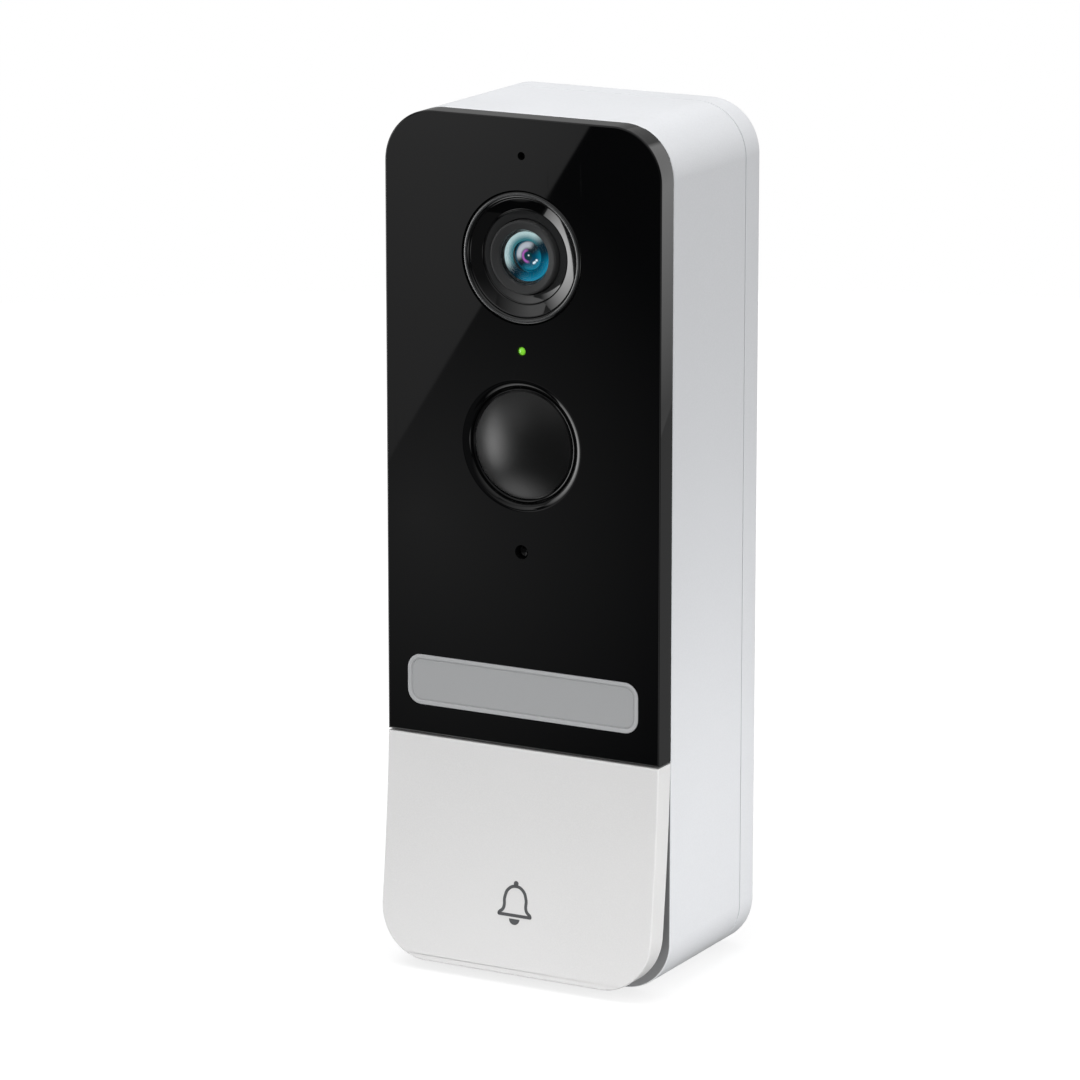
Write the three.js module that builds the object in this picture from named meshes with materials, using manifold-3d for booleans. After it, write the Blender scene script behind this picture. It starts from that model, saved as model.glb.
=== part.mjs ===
// A battery video doorbell hooked on its wall bracket, in millimetres.
// +Z is up, the front faces -Y, and y = 0 is the wall. The origin is the middle of the bracket's back face.
import * as THREE from "three";
import { mergeVertices } from "three/addons/utils/BufferGeometryUtils.js";
import Module from "manifold-3d";

const wasm = await Module();
wasm.setup();

// ---- Case ----
const CASE_WIDTH = 53;
const CASE_HEIGHT = 151;
const CASE_CORNER = 9.2;
const WALL_GAP = 0.8; // rear edge to the wall
const SHELL = 2.2; // wall of the white shells
const FRONT_WALL = 2; // housing's wall behind the panel and the button
const COVER_FLOOR = 1.6; // rear cover's wall in front of the bracket recess
const SEAM_GAP = 0.3;
const GASKET_INSET = 0.8; // from the case's side
const GASKET_REBATE = 0.9; // depth of its seat in the housing
const REAR_ROUND = 0.9; // rear edge's radius
const EDGE_BREAK = 0.35; // small bevel on outer edges
const CLEARANCE = 0.3; // between pieces that stay side by side
const SLIP = 0.1; // round a piece that is seated in a hole
const EPS = 1; // how far a cutter runs past what it cuts

// ---- Front panel ----
const PANEL_DEPTH = 4.7; // glass to the housing's front
const PANEL_FACE = 1.8;
const SKIRT = 1.6; // side wall of the panel and of the button
const CARRIER_THICKNESS = 1.4;
const BUTTON_ZONE = 41.8; // split between panel and button, above the base
const SPLIT_GAP = 0.35;

// ---- What the panel shows, by its distance from the top or above the split ----
const MIC_DROP = 6.4;
const MIC_HOLE = 0.7;
const MIC_SEAT = 2.4;
const MIC_RADIUS = 2;
const MIC_HEIGHT = 1.8;
const CAMERA_DROP = 23.8;
const CAMERA_RADIUS = 11.45;
const STATUS_DROP = 39.8;
const STATUS_RADIUS = 0.7;
const STATUS_LED_HEIGHT = 0.9;
const SENSOR_CHIP_HEIGHT = 0.8;
const PIR_DROP = 56.2;
const PIR_RADIUS = 9.95;
const PIR_RECESS = 11.4;
const PIR_BULGE = 2.2; // dome above the glass
const PIR_SEAT = 1; // dome's rim behind the glass
const PIR_WALL = 1.2;
const PIR_FLANGE = 1;
const PIR_FLANGE_THICKNESS = 0.9;
const PIR_CAN_RADIUS = 4.6;
const PIR_CAN_HEIGHT = 4.2;
const PIR_CAN_RIM = 0.4;
const LIGHT_SENSOR_DROP = 74.7;
const LIGHT_SENSOR_HOLE = 1.25;
const LIGHT_BAR_RISE = 9.6;
const LIGHT_BAR_WIDTH = 45;
const LIGHT_BAR_HEIGHT = 8.9;
const LIGHT_BAR_CORNER = 2.6;
const LIGHT_BAR_LEDGE = 1; // carrier behind the diffuser's edge
const LIGHT_BAR_LEDS = 4;
const LED_PITCH = 11;
const LED_SIZE = 3;
const LED_HEIGHT = 0.8;

// ---- Camera ----
const CAMERA_THROAT = 8.1; // inner wall of the recess
const CAMERA_FLOOR = 1.9; // recess floor behind the glass
const BEZEL_RIM = 0.9; // flat ring at the glass
const BEZEL_STEP = 0.6; // depth of the chamfer inside the rim
const BEZEL_BOWL = 1.3; // depth of the bowl's lower edge
const BEZEL_WALL = 2.9; // thickness of the recess floor
const BARREL_RADIUS = 6.35;
const BARREL_SET_BACK = 0.4;
const BARREL_LENGTH = 5.5;
const FRONT_LENS_RADIUS = 4.6;
const REAR_LENS_RADIUS = 2.75;
const LENS_THICKNESS = 1.1;
const LENS_SEAT = 0.8; // front lens's rim behind the barrel's lip
const LENS_CROWN = 1.4;
const LENS_POCKET = 2;
const REAR_LENS_SEAT = 0.7; // behind the front lens's pocket
const REAR_LENS_CROWN = 0.6;
const BARREL_FLOOR = 1;
const BARREL_LIP = 0.6;
const CAMERA_MODULE = 16;

// ---- Call button ----
const BUTTON_THICKNESS = 4.4;
const BUTTON_SKIN = 1.8;
const BUTTON_LEAN = 3.7; // how far the lower edge stands in front of the glass
const LEAN_POWER = 1.45;
const BUTTON_LIFT = 1.8; // lower edge above the base
const LIP_GAP = 1.5; // lip on the housing behind the button's skin
const LIP_SIDE_GAP = 0.6;
const LIP_WALL = 1.4;
const PIVOT_DROP = 4.5;
const PIVOT_RADIUS = 1;
const PIVOT_DEPTH = 2.2; // behind the housing's front wall
const PIVOT_SPAN = 40;
const EYE_WALL = 1; // material round the pivot rod
const LUG_WIDTH = 2.4;
const RUNNING_FIT = 0.13;
const BOSS_RADIUS = 2.2;
const ARM_OFFSET = 14;
const ARM_WIDTH = 3;
const ARM_HEIGHT = 5;
const SWITCH_DROP = 24;
const PLUNGER_RADIUS = 1.7;
const PLUNGER_LENGTH = 4.4;
const PLUNGER_ENTRY = 1;
const PLUNGER_TRAVEL = 0.6;
const SWITCH_SIZE = 6.2;
const SWITCH_HEIGHT = 3.5;
const SWITCH_BOARD = 15;
const BUMPER_DROP = 32.5;
const BUMPER_OFFSET = 16;
const BUMPER_RADIUS = 2;
const BUMPER_HEIGHT = 2.6;
const BUMPER_GAP = 1.3; // left for the button's travel

// ---- Boards and battery ----
const BOARD_THICKNESS = 1.2;
const BOARD_SET_BACK = 7.8; // glass to the main board
const BOARD_REAR_ROOM = 2.6; // for components, between the main board and the battery tray
const BOARD_SIDE = 3; // board edge to the housing's wall
const BOARD_LOW = 4; // above the split
const BOARD_TONGUE_GAP = 1; // microphone's tongue below the housing's wall
const WINDOW_WIDTH = 32; // opening in the housing's front wall
const WINDOW_LOW = 18; // above the split
const WINDOW_HIGH = 10; // below the top
const CELL_RADIUS = 9.1;
const CELL_LENGTH = 65;
const CELL_GAP = 0.8;
const CELL_LOW = -6;
const TRAY_WALL = 1;
const SPEAKER_RADIUS = 10;
const SPEAKER_HEIGHT = 6;
const SPEAKER_BASKET = 2.4;
const SPEAKER_MAGNET = 6.2; // radius
const SPEAKER_RIM = 1.6;
const SPEAKER_CONE = 0.7; // depth of the cone's dish
const SPEAKER_GASKET = 1;
const GRILLE_SLOTS = 5;
const GRILLE_PITCH = 3.6;
const GRILLE_SLOT_WIDTH = 1.4;
const GRILLE_SLOT_LENGTH = 9;

// ---- Rear: screws, sockets and bracket ----
const COLUMN_INSET = 5; // case screws inside the bracket recess
const COLUMN_RADIUS = 3;
const SCREW_SHANK = 1.1;
const SCREW_HEAD = 2.1;
const SCREW_PLAY = 0.25;
const SCREW_SINK = 2; // head sunk in the base
const SCREW_DRIVE = 0.6; // width of a slot
const DRIVE_REACH = 1.2;
const HEAD_HEIGHT = 1.1;
const CASE_SCREW_LENGTH = 9;
const RECESS_SIDE = 3; // recess to the case's side
const RECESS_END = 5.5; // recess to the case's ends
const RECESS_DEPTH = 4;
const BRACKET_CLEARANCE = 0.6;
const BRACKET_THICKNESS = 2.4;
const BRACKET_WINDOW_TOP = -8;
const BRACKET_WINDOW_HEIGHT = 32;
const BRACKET_WINDOW_WIDTH = 32;
const BRACKET_WINDOW_CORNER = 3;
const BRACKET_HOLE_RISE = 44; // screw holes above and below the middle
const BRACKET_HOLE_RADIUS = 2.2;
const COUNTERSINK_LAND = 0.6;
const HOOK_OFFSET = 10;
const HOOK_WIDTH = 8;
const HOOK_REACH = 0.9; // into the cover's top pocket
const HOOK_THICKNESS = 1.2;
const HOOK_ROOT = 3.4;
const TAB_WIDTH = 12;
const TAB_HEIGHT = 2.4;
const SCREW_SLOT = 3.2; // notch in the tab
const SECURITY_SET_BACK = 2.5; // security screw in front of the rear edge
const POWER_BOARD_WIDTH = 33;
const POWER_BOARD_HEIGHT = 30;
const POWER_BOARD_ROOM = 2.6; // between the board and the rear cover
const TERMINAL_Z = -17;
const TERMINAL_WIDTH = 19;
const TERMINAL_HEIGHT = 9;
const TERMINAL_SPACING = 9.5;
const TERMINAL_SCREW = 2.3; // head's radius
const TERMINAL_WELL = 1.9;
const USB_Z = -33;
const USB_WIDTH = 9;
const USB_HEIGHT = 3.4;
const USB_WALL = 0.4;
const TONGUE_WIDTH = 6;
const TONGUE_HEIGHT = 0.7;
const FLAP_WIDTH = 13;
const FLAP_HEIGHT = 7.6;
const FLAP_THICKNESS = 1.1;
const FLAP_CORNER = 1.6;
const FLAP_PLUG = 0.9; // into the rear cover
const RESET_OFFSET = 11.2;
const RESET_RADIUS = 1.6;
const RESET_FLANGE = 0.7;
const RESET_FLANGE_DEPTH = 1.1;

// ---- Planes and heights that follow ----
const REAR_COVER_DEPTH = RECESS_DEPTH + COVER_FLOOR;
const CELL_SPACING = 2 * CELL_RADIUS + CELL_GAP;
const BATTERY_DEPTH = TRAY_WALL + 2 * CELL_RADIUS + 2 * CLEARANCE;
const BOARD_STACK = BOARD_SET_BACK + BOARD_THICKNESS + BOARD_REAR_ROOM;
const CASE_DEPTH = BOARD_STACK + BATTERY_DEPTH + REAR_COVER_DEPTH; // glass to rear edge
const TOP = CASE_HEIGHT / 2;
const BASE = -TOP;
const REAR = -WALL_GAP;
const GLASS = REAR - CASE_DEPTH;
const HOUSING_FRONT = GLASS + PANEL_DEPTH;
const HOUSING_INSIDE = HOUSING_FRONT + FRONT_WALL;
const COVER_FRONT = REAR - REAR_COVER_DEPTH;
const HOUSING_REAR = COVER_FRONT - SEAM_GAP;
const SPLIT = BASE + BUTTON_ZONE;
const BOARD_FRONT = GLASS + BOARD_SET_BACK;
const BOARD_BACK = BOARD_FRONT + BOARD_THICKNESS;
const CARRIER_FRONT = GLASS + PANEL_FACE + SLIP;
const CARRIER_BACK = CARRIER_FRONT + CARRIER_THICKNESS;
const MIC_Z = TOP - MIC_DROP;
const CAMERA_Z = TOP - CAMERA_DROP;
const STATUS_Z = TOP - STATUS_DROP;
const PIR_Z = TOP - PIR_DROP;
const LIGHT_SENSOR_Z = TOP - LIGHT_SENSOR_DROP;
const LIGHT_BAR_Z = SPLIT + LIGHT_BAR_RISE;
const RECESS_WIDTH = CASE_WIDTH - 2 * RECESS_SIDE;
const RECESS_HEIGHT = CASE_HEIGHT - 2 * RECESS_END;
const RECESS_CORNER = CASE_CORNER - RECESS_SIDE;
const RECESS_FLOOR = REAR - RECESS_DEPTH;
const COLUMN_X = RECESS_WIDTH / 2 - COLUMN_INSET;
const COLUMN_Z = RECESS_HEIGHT / 2 - COLUMN_INSET;
const PIVOT_Y = HOUSING_INSIDE + PIVOT_DEPTH;
const PIVOT_Z = SPLIT - PIVOT_DROP;
const SWITCH_Z = SPLIT - SWITCH_DROP;
const BUMPER_Z = SPLIT - BUMPER_DROP;
const BUTTON_HEIGHT = BUTTON_ZONE - BUTTON_LIFT;
const PLUNGER_FRONT = HOUSING_FRONT - PLUNGER_TRAVEL;
const SWITCH_FRONT = PLUNGER_FRONT + PLUNGER_LENGTH - PLUNGER_ENTRY;
const SECURITY_Y = REAR - SECURITY_SET_BACK;
const SIDES = [-1, 1];

// ---- Finishes ----
const FINISHES = {
  blackGloss: { color: 0x0d0d0e, roughness: 0.08, metalness: 0 },
  blackMatte: { color: 0x1a1a1b, roughness: 0.6, metalness: 0 },
  whiteShell: { color: 0xe4e5e8, roughness: 0.42, metalness: 0 },
  whiteButton: { color: 0xe6e4e2, roughness: 0.38, metalness: 0 },
  greyDiffuser: { color: 0xa2a4a5, roughness: 0.45, metalness: 0 },
  greyRubber: { color: 0x6d7072, roughness: 0.8, metalness: 0 },
  blackRubber: { color: 0x202122, roughness: 0.85, metalness: 0 },
  lensGlass: { color: 0x2b6f8c, roughness: 0.03, metalness: 0 },
  greenLens: { color: 0x46c83c, roughness: 0.3, metalness: 0 },
  steel: { color: 0xb4b6b8, roughness: 0.3, metalness: 1 },
  brass: { color: 0xb8954a, roughness: 0.35, metalness: 1 },
  greenBoard: { color: 0x17502f, roughness: 0.5, metalness: 0 },
  yellowLed: { color: 0xe9d66a, roughness: 0.4, metalness: 0 },
  blueWrap: { color: 0x2c5f9e, roughness: 0.45, metalness: 0 },
};

// ---- Solids ----

// A closed geometry as a solid that can be cut and joined.
function solid(geometry) {
  const bare = geometry.clone();
  bare.deleteAttribute("normal");
  bare.deleteAttribute("uv");
  const merged = mergeVertices(bare, 1e-4);
  const vertProperties = merged.attributes.position.array;
  const triVerts = new Uint32Array(merged.index.array);
  return new wasm.Manifold(new wasm.Mesh({ numProp: 3, vertProperties, triVerts }));
}

// A solid back as a geometry with flat faces.
function geometryOf(body) {
  const { vertProperties, triVerts } = body.getMesh();
  const geometry = new THREE.BufferGeometry();
  geometry.setAttribute("position", new THREE.Float32BufferAttribute(vertProperties, 3));
  geometry.setIndex(new THREE.BufferAttribute(new Uint32Array(triVerts), 1));
  const flat = geometry.toNonIndexed();
  flat.computeVertexNormals();
  return flat;
}

function join(first, ...others) {
  return others.reduce((body, other) => body.add(other), first);
}

function cut(first, ...others) {
  return others.reduce((body, other) => body.subtract(other), first);
}

// A box between two corners.
function box(x0, x1, y0, y1, z0, z1) {
  const geometry = new THREE.BoxGeometry(x1 - x0, y1 - y0, z1 - z0);
  geometry.translate((x0 + x1) / 2, (y0 + y1) / 2, (z0 + z1) / 2);
  return solid(geometry);
}

// A box centred on x = 0 or on the x given, from y0 to y1, centred on z.
function slab(width, height, y0, y1, x, z) {
  return box(x - width / 2, x + width / 2, y0, y1, z - height / 2, z + height / 2);
}

// A round bar along Y.
function rod(radius, y0, y1, x, z, sides = 20) {
  const geometry = new THREE.CylinderGeometry(radius, radius, y1 - y0, sides);
  geometry.translate(x, (y0 + y1) / 2, z);
  return solid(geometry);
}

// A round bar along X.
function crossRod(radius, length, y, z, sides = 16) {
  const geometry = new THREE.CylinderGeometry(radius, radius, length, sides);
  geometry.rotateZ(Math.PI / 2);
  geometry.translate(0, y, z);
  return solid(geometry);
}

// A round bar along Z.
function post(radius, z0, z1, x, y, sides = 20) {
  const geometry = new THREE.CylinderGeometry(radius, radius, z1 - z0, sides);
  geometry.rotateX(Math.PI / 2);
  geometry.translate(x, y, (z0 + z1) / 2);
  return solid(geometry);
}

// A profile of [radius, y] points, listed from the front round to the back, turned about an axis along Y.
function turned(profile, z, sides = 36) {
  const points = profile.map(([radius, y]) => new THREE.Vector2(radius, y));
  const geometry = new THREE.LatheGeometry(points, sides);
  geometry.translate(0, 0, z);
  return solid(geometry);
}

// A profile of [y, z] points swept along X.
function sidePrism(profile, width) {
  const shape = new THREE.Shape(profile.map(([y, z]) => new THREE.Vector2(y, z)));
  const geometry = new THREE.ExtrudeGeometry(shape, { depth: width, bevelEnabled: false });
  const yAxis = new THREE.Vector3(0, 1, 0);
  const zAxis = new THREE.Vector3(0, 0, 1);
  const xAxis = new THREE.Vector3(1, 0, 0);
  geometry.applyMatrix4(new THREE.Matrix4().makeBasis(yAxis, zAxis, xAxis));
  geometry.translate(-width / 2, 0, 0);
  return solid(geometry);
}

// Points round a rectangle with round corners, anticlockwise seen from the front.
function roundedOutline(width, height, radius, steps) {
  const points = [];
  const corners = [
    [1, -1, -90],
    [1, 1, 0],
    [-1, 1, 90],
    [-1, -1, 180],
  ];
  for (const [sx, sz, start] of corners) {
    for (let i = 0; i <= steps; i++) {
      const angle = THREE.MathUtils.degToRad(start + (90 * i) / steps);
      const x = sx * (width / 2 - radius) + radius * Math.cos(angle);
      const z = sz * (height / 2 - radius) + radius * Math.sin(angle);
      points.push([x, z]);
    }
  }
  return points;
}

// A block with round corners. Each level is [y, inset], from the front to the back.
function roundBlock(width, height, radius, levels, x = 0, z = 0, steps = 8) {
  const positions = [];
  const index = [];
  for (const [y, inset] of levels) {
    const outline = roundedOutline(width - 2 * inset, height - 2 * inset, radius - inset, steps);
    for (const [px, pz] of outline) positions.push(px + x, y, pz + z);
  }
  const count = positions.length / 3 / levels.length;
  for (let level = 0; level + 1 < levels.length; level++) {
    for (let i = 0; i < count; i++) {
      const a = level * count + i;
      const b = level * count + ((i + 1) % count);
      index.push(a, a + count, b, b, a + count, b + count);
    }
  }
  const last = (levels.length - 1) * count;
  for (let i = 1; i + 1 < count; i++) {
    index.push(0, i, i + 1);
    index.push(last, last + i + 1, last + i);
  }
  const geometry = new THREE.BufferGeometry();
  geometry.setAttribute("position", new THREE.Float32BufferAttribute(positions, 3));
  geometry.setIndex(index);
  return solid(geometry);
}

// The whole case's outline between two depths, inset all round.
function caseBlock(y0, y1, inset) {
  const width = CASE_WIDTH - 2 * inset;
  const height = CASE_HEIGHT - 2 * inset;
  return roundBlock(width, height, CASE_CORNER - inset, [[y0, 0], [y1, 0]]);
}

// Everything above a height, for trimming.
function above(z) {
  return box(-CASE_WIDTH, CASE_WIDTH, 2 * GLASS, -GLASS, z, 2 * CASE_HEIGHT);
}

// ---- Front panel and what it shows ----

function frontPanel() {
  const back = HOUSING_FRONT - SLIP;
  const levels = [[GLASS, EDGE_BREAK], [GLASS + EDGE_BREAK, 0], [back, 0]];
  const outside = roundBlock(CASE_WIDTH, CASE_HEIGHT, CASE_CORNER, levels).intersect(above(SPLIT));
  const hollow = caseBlock(GLASS + PANEL_FACE, back + EPS, SKIRT).intersect(above(SPLIT + SKIRT));
  const through = [GLASS - EPS, GLASS + PANEL_FACE + EPS];
  const pirFunnel = turned(
    [
      [0, GLASS - EPS],
      [PIR_RECESS + EPS, GLASS - EPS],
      [PIR_RADIUS + SLIP, GLASS + PIR_SEAT],
      [PIR_RADIUS + SLIP, through[1]],
      [0, through[1]],
    ],
    PIR_Z,
  );
  const barLevels = through.map((y) => [y, -SLIP]);
  return cut(
    outside,
    hollow,
    rod(CAMERA_RADIUS + SLIP, ...through, 0, CAMERA_Z, 36),
    pirFunnel,
    rod(MIC_HOLE, ...through, 0, MIC_Z, 12),
    rod(STATUS_RADIUS + SLIP, ...through, 0, STATUS_Z, 12),
    rod(LIGHT_SENSOR_HOLE, ...through, 0, LIGHT_SENSOR_Z, 16),
    roundBlock(LIGHT_BAR_WIDTH, LIGHT_BAR_HEIGHT, LIGHT_BAR_CORNER, barLevels, 0, LIGHT_BAR_Z, 5),
  );
}

// The black plate behind the panel that locates the camera, the dome and the light bar.
function sensorCarrier() {
  const plate = caseBlock(CARRIER_FRONT, CARRIER_BACK, SKIRT + CLEARANCE);
  const trimmed = plate.intersect(above(SPLIT + SKIRT + CLEARANCE));
  const through = [CARRIER_FRONT - EPS, CARRIER_BACK + EPS];
  const windowWidth = LIGHT_BAR_WIDTH - 2 * LIGHT_BAR_LEDGE;
  const windowHeight = LIGHT_BAR_HEIGHT - 2 * LIGHT_BAR_LEDGE;
  return cut(
    trimmed,
    rod(CAMERA_RADIUS + CLEARANCE, ...through, 0, CAMERA_Z, 36),
    rod(PIR_RADIUS + PIR_FLANGE + CLEARANCE, ...through, 0, PIR_Z, 36),
    rod(MIC_HOLE, ...through, 0, MIC_Z, 12),
    rod(STATUS_RADIUS + CLEARANCE, ...through, 0, STATUS_Z, 12),
    rod(LIGHT_SENSOR_HOLE + CLEARANCE, ...through, 0, LIGHT_SENSOR_Z, 16),
    slab(windowWidth, windowHeight, ...through, 0, LIGHT_BAR_Z),
  );
}

// The stepped ring round the lens, with the floor of the recess.
function cameraBezel() {
  const floor = GLASS + CAMERA_FLOOR;
  return turned(
    [
      [BARREL_RADIUS + SLIP, floor],
      [CAMERA_THROAT, floor],
      [CAMERA_THROAT, GLASS + BEZEL_BOWL],
      [CAMERA_RADIUS - BEZEL_RIM - BEZEL_STEP, GLASS + BEZEL_STEP],
      [CAMERA_RADIUS - BEZEL_RIM, GLASS],
      [CAMERA_RADIUS - SLIP, GLASS],
      [CAMERA_RADIUS, GLASS + SLIP],
      [CAMERA_RADIUS, floor + BEZEL_WALL],
      [BARREL_RADIUS + SLIP, floor + BEZEL_WALL],
      [BARREL_RADIUS + SLIP, floor],
    ],
    CAMERA_Z,
  );
}

function lensBarrel() {
  const front = GLASS + BARREL_SET_BACK;
  const back = front + BARREL_LENGTH;
  return turned(
    [
      [0, back - BARREL_FLOOR],
      [REAR_LENS_RADIUS + SLIP, back - BARREL_FLOOR],
      [REAR_LENS_RADIUS + SLIP, front + LENS_POCKET],
      [FRONT_LENS_RADIUS + SLIP, front + LENS_POCKET],
      [FRONT_LENS_RADIUS + SLIP, front + BARREL_LIP],
      [BARREL_RADIUS - EDGE_BREAK - BARREL_LIP, front],
      [BARREL_RADIUS - EDGE_BREAK, front],
      [BARREL_RADIUS, front + EDGE_BREAK],
      [BARREL_RADIUS, back],
      [0, back],
    ],
    CAMERA_Z,
  );
}

// Points along a spherical cap, from its rim at [radius, rimY] to its crown at [0, crownY].
function cap(radius, rimY, crownY, steps) {
  const rise = rimY - crownY;
  const sphere = (radius * radius + rise * rise) / (2 * rise);
  const spread = Math.asin(radius / sphere);
  const points = [];
  for (let i = steps; i >= 0; i--) {
    const angle = (spread * i) / steps;
    const r = i === 0 ? 0 : sphere * Math.sin(angle);
    points.push([r, crownY + sphere * (1 - Math.cos(angle))]);
  }
  return points;
}

function frontLens() {
  const rim = GLASS + BARREL_SET_BACK + LENS_SEAT;
  const back = rim + LENS_THICKNESS;
  const crown = cap(FRONT_LENS_RADIUS, rim, rim - LENS_CROWN, 6).reverse();
  return turned([...crown, [FRONT_LENS_RADIUS, back], [0, back]], CAMERA_Z, 28);
}

function rearLens() {
  const rim = GLASS + BARREL_SET_BACK + LENS_POCKET + REAR_LENS_SEAT;
  const back = GLASS + BARREL_SET_BACK + BARREL_LENGTH - BARREL_FLOOR - SLIP;
  const crown = cap(REAR_LENS_RADIUS, rim, rim - REAR_LENS_CROWN, 4).reverse();
  return turned([...crown, [REAR_LENS_RADIUS, back], [0, back]], CAMERA_Z, 20);
}

function cameraModule() {
  const front = GLASS + BARREL_SET_BACK + BARREL_LENGTH + SLIP;
  return slab(CAMERA_MODULE, CAMERA_MODULE, front, BOARD_FRONT - SLIP, 0, CAMERA_Z);
}

function pirDome() {
  const rim = GLASS + PIR_SEAT;
  const seat = CARRIER_FRONT;
  const flangeBack = seat + PIR_FLANGE_THICKNESS;
  const outer = cap(PIR_RADIUS, rim, GLASS - PIR_BULGE, 8).reverse();
  const inner = cap(PIR_RADIUS - PIR_WALL, rim + SLIP, GLASS - PIR_BULGE + PIR_WALL, 8);
  return turned(
    [
      ...outer,
      [PIR_RADIUS, seat],
      [PIR_RADIUS + PIR_FLANGE, seat],
      [PIR_RADIUS + PIR_FLANGE, flangeBack],
      [PIR_RADIUS - PIR_WALL, flangeBack],
      ...inner,
    ],
    PIR_Z,
  );
}

function pirSensor() {
  const back = BOARD_FRONT - SLIP;
  const can = rod(PIR_CAN_RADIUS, back - PIR_CAN_HEIGHT, back, 0, PIR_Z, 24);
  return join(can, rod(PIR_CAN_RADIUS + PIR_CAN_RIM, back - PIR_CAN_RIM, back, 0, PIR_Z, 24));
}

function microphoneGasket() {
  const reach = [CARRIER_BACK + SLIP, BOARD_FRONT - MIC_HEIGHT - 2 * SLIP];
  const ring = rod(MIC_SEAT, ...reach, 0, MIC_Z, 20);
  return cut(ring, rod(MIC_HOLE, reach[0] - EPS, reach[1] + EPS, 0, MIC_Z, 12));
}

function lightBarDiffuser() {
  const levels = [[GLASS, EDGE_BREAK], [GLASS + EDGE_BREAK, 0], [CARRIER_FRONT - SLIP, 0]];
  return roundBlock(LIGHT_BAR_WIDTH, LIGHT_BAR_HEIGHT, LIGHT_BAR_CORNER, levels, 0, LIGHT_BAR_Z, 5);
}

// ---- Call button ----

// How far the button's front stands forward of the glass at a distance below its top.
function leanAt(drop) {
  return BUTTON_LEAN * Math.pow(Math.max(drop, 0) / BUTTON_HEIGHT, LEAN_POWER);
}

// The button's side profile between two depths behind its leaning front, from its top down to a height.
function leaningBody(near, far, width, top, bottom) {
  const steps = 8;
  const front = [];
  const back = [];
  for (let i = 0; i <= steps; i++) {
    const z = top + ((bottom - top) * i) / steps;
    const y = GLASS - leanAt(SPLIT - z);
    front.push([y + near, z]);
    back.unshift([y + far, z]);
  }
  return sidePrism([...front, ...back], width);
}

// The case's outline raised to the button's lower edge and inset all round, as a deep block.
function buttonOutline(inset) {
  const levels = [[2 * GLASS, inset], [0, inset]];
  return roundBlock(CASE_WIDTH, CASE_HEIGHT, CASE_CORNER, levels, 0, BUTTON_LIFT);
}

function callButton() {
  const top = SPLIT - SPLIT_GAP;
  const bottom = BASE + BUTTON_LIFT;
  const outside = leaningBody(0, BUTTON_THICKNESS, CASE_WIDTH + EPS, top, bottom - EPS);
  const hollowTop = top - SKIRT;
  const hollow = leaningBody(BUTTON_SKIN, PANEL_DEPTH + EPS, CASE_WIDTH, hollowTop, bottom - EPS);
  const tray = cut(outside.intersect(buttonOutline(0)), hollow.intersect(buttonOutline(SKIRT)));
  const skinAt = (z) => GLASS - leanAt(SPLIT - z) + BUTTON_SKIN - SLIP;
  const actuator = rod(BOSS_RADIUS, skinAt(SWITCH_Z), PLUNGER_FRONT - SLIP, 0, SWITCH_Z);
  const stops = SIDES.map((side) => {
    const tip = HOUSING_FRONT - BUMPER_HEIGHT - BUMPER_GAP;
    return rod(BOSS_RADIUS, skinAt(BUMPER_Z), tip, side * BUMPER_OFFSET, BUMPER_Z);
  });
  const arms = SIDES.map((side) => {
    const reach = PIVOT_Y + PIVOT_RADIUS + EYE_WALL;
    return slab(ARM_WIDTH, ARM_HEIGHT, skinAt(PIVOT_Z), reach, side * ARM_OFFSET, PIVOT_Z);
  });
  const bore = crossRod(PIVOT_RADIUS + RUNNING_FIT, CASE_WIDTH, PIVOT_Y, PIVOT_Z);
  return cut(join(tray, actuator, ...stops, ...arms), bore);
}

// The lip on the housing that stands inside the button's skirt and closes the wedge under it.
function buttonLip() {
  const top = SPLIT - SKIRT - EPS;
  const bottom = BASE + BUTTON_LIFT;
  const body = leaningBody(BUTTON_SKIN + LIP_GAP, 2 * PANEL_DEPTH, CASE_WIDTH, top, bottom);
  const ring = cut(buttonOutline(SKIRT + LIP_SIDE_GAP), buttonOutline(SKIRT + LIP_SIDE_GAP + LIP_WALL));
  const inside = CASE_WIDTH / 2 - SKIRT - LIP_SIDE_GAP - LIP_WALL;
  const front = box(-CASE_WIDTH, CASE_WIDTH, 2 * GLASS, HOUSING_FRONT + SLIP, 2 * BASE, 2 * TOP);
  const upper = box(-inside, inside, 2 * GLASS, 0, PIVOT_Z - 2 * ARM_HEIGHT, 2 * TOP);
  return cut(body.intersect(ring).intersect(front), upper);
}

function switchPlunger() {
  const back = PLUNGER_FRONT + PLUNGER_LENGTH - PLUNGER_TRAVEL;
  return rod(PLUNGER_RADIUS, PLUNGER_FRONT, back, 0, SWITCH_Z);
}

function tactSwitch() {
  const back = SWITCH_FRONT + SWITCH_HEIGHT;
  const body = slab(SWITCH_SIZE, SWITCH_SIZE, SWITCH_FRONT, back, 0, SWITCH_Z);
  const well = SWITCH_FRONT + PLUNGER_ENTRY + PLUNGER_TRAVEL;
  return cut(body, rod(PLUNGER_RADIUS + RUNNING_FIT, SWITCH_FRONT - EPS, well, 0, SWITCH_Z));
}

function switchBoard() {
  const front = SWITCH_FRONT + SWITCH_HEIGHT + SLIP;
  return slab(SWITCH_BOARD, SWITCH_BOARD, front, front + BOARD_THICKNESS, 0, SWITCH_Z);
}

// ---- White housing ----

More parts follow.
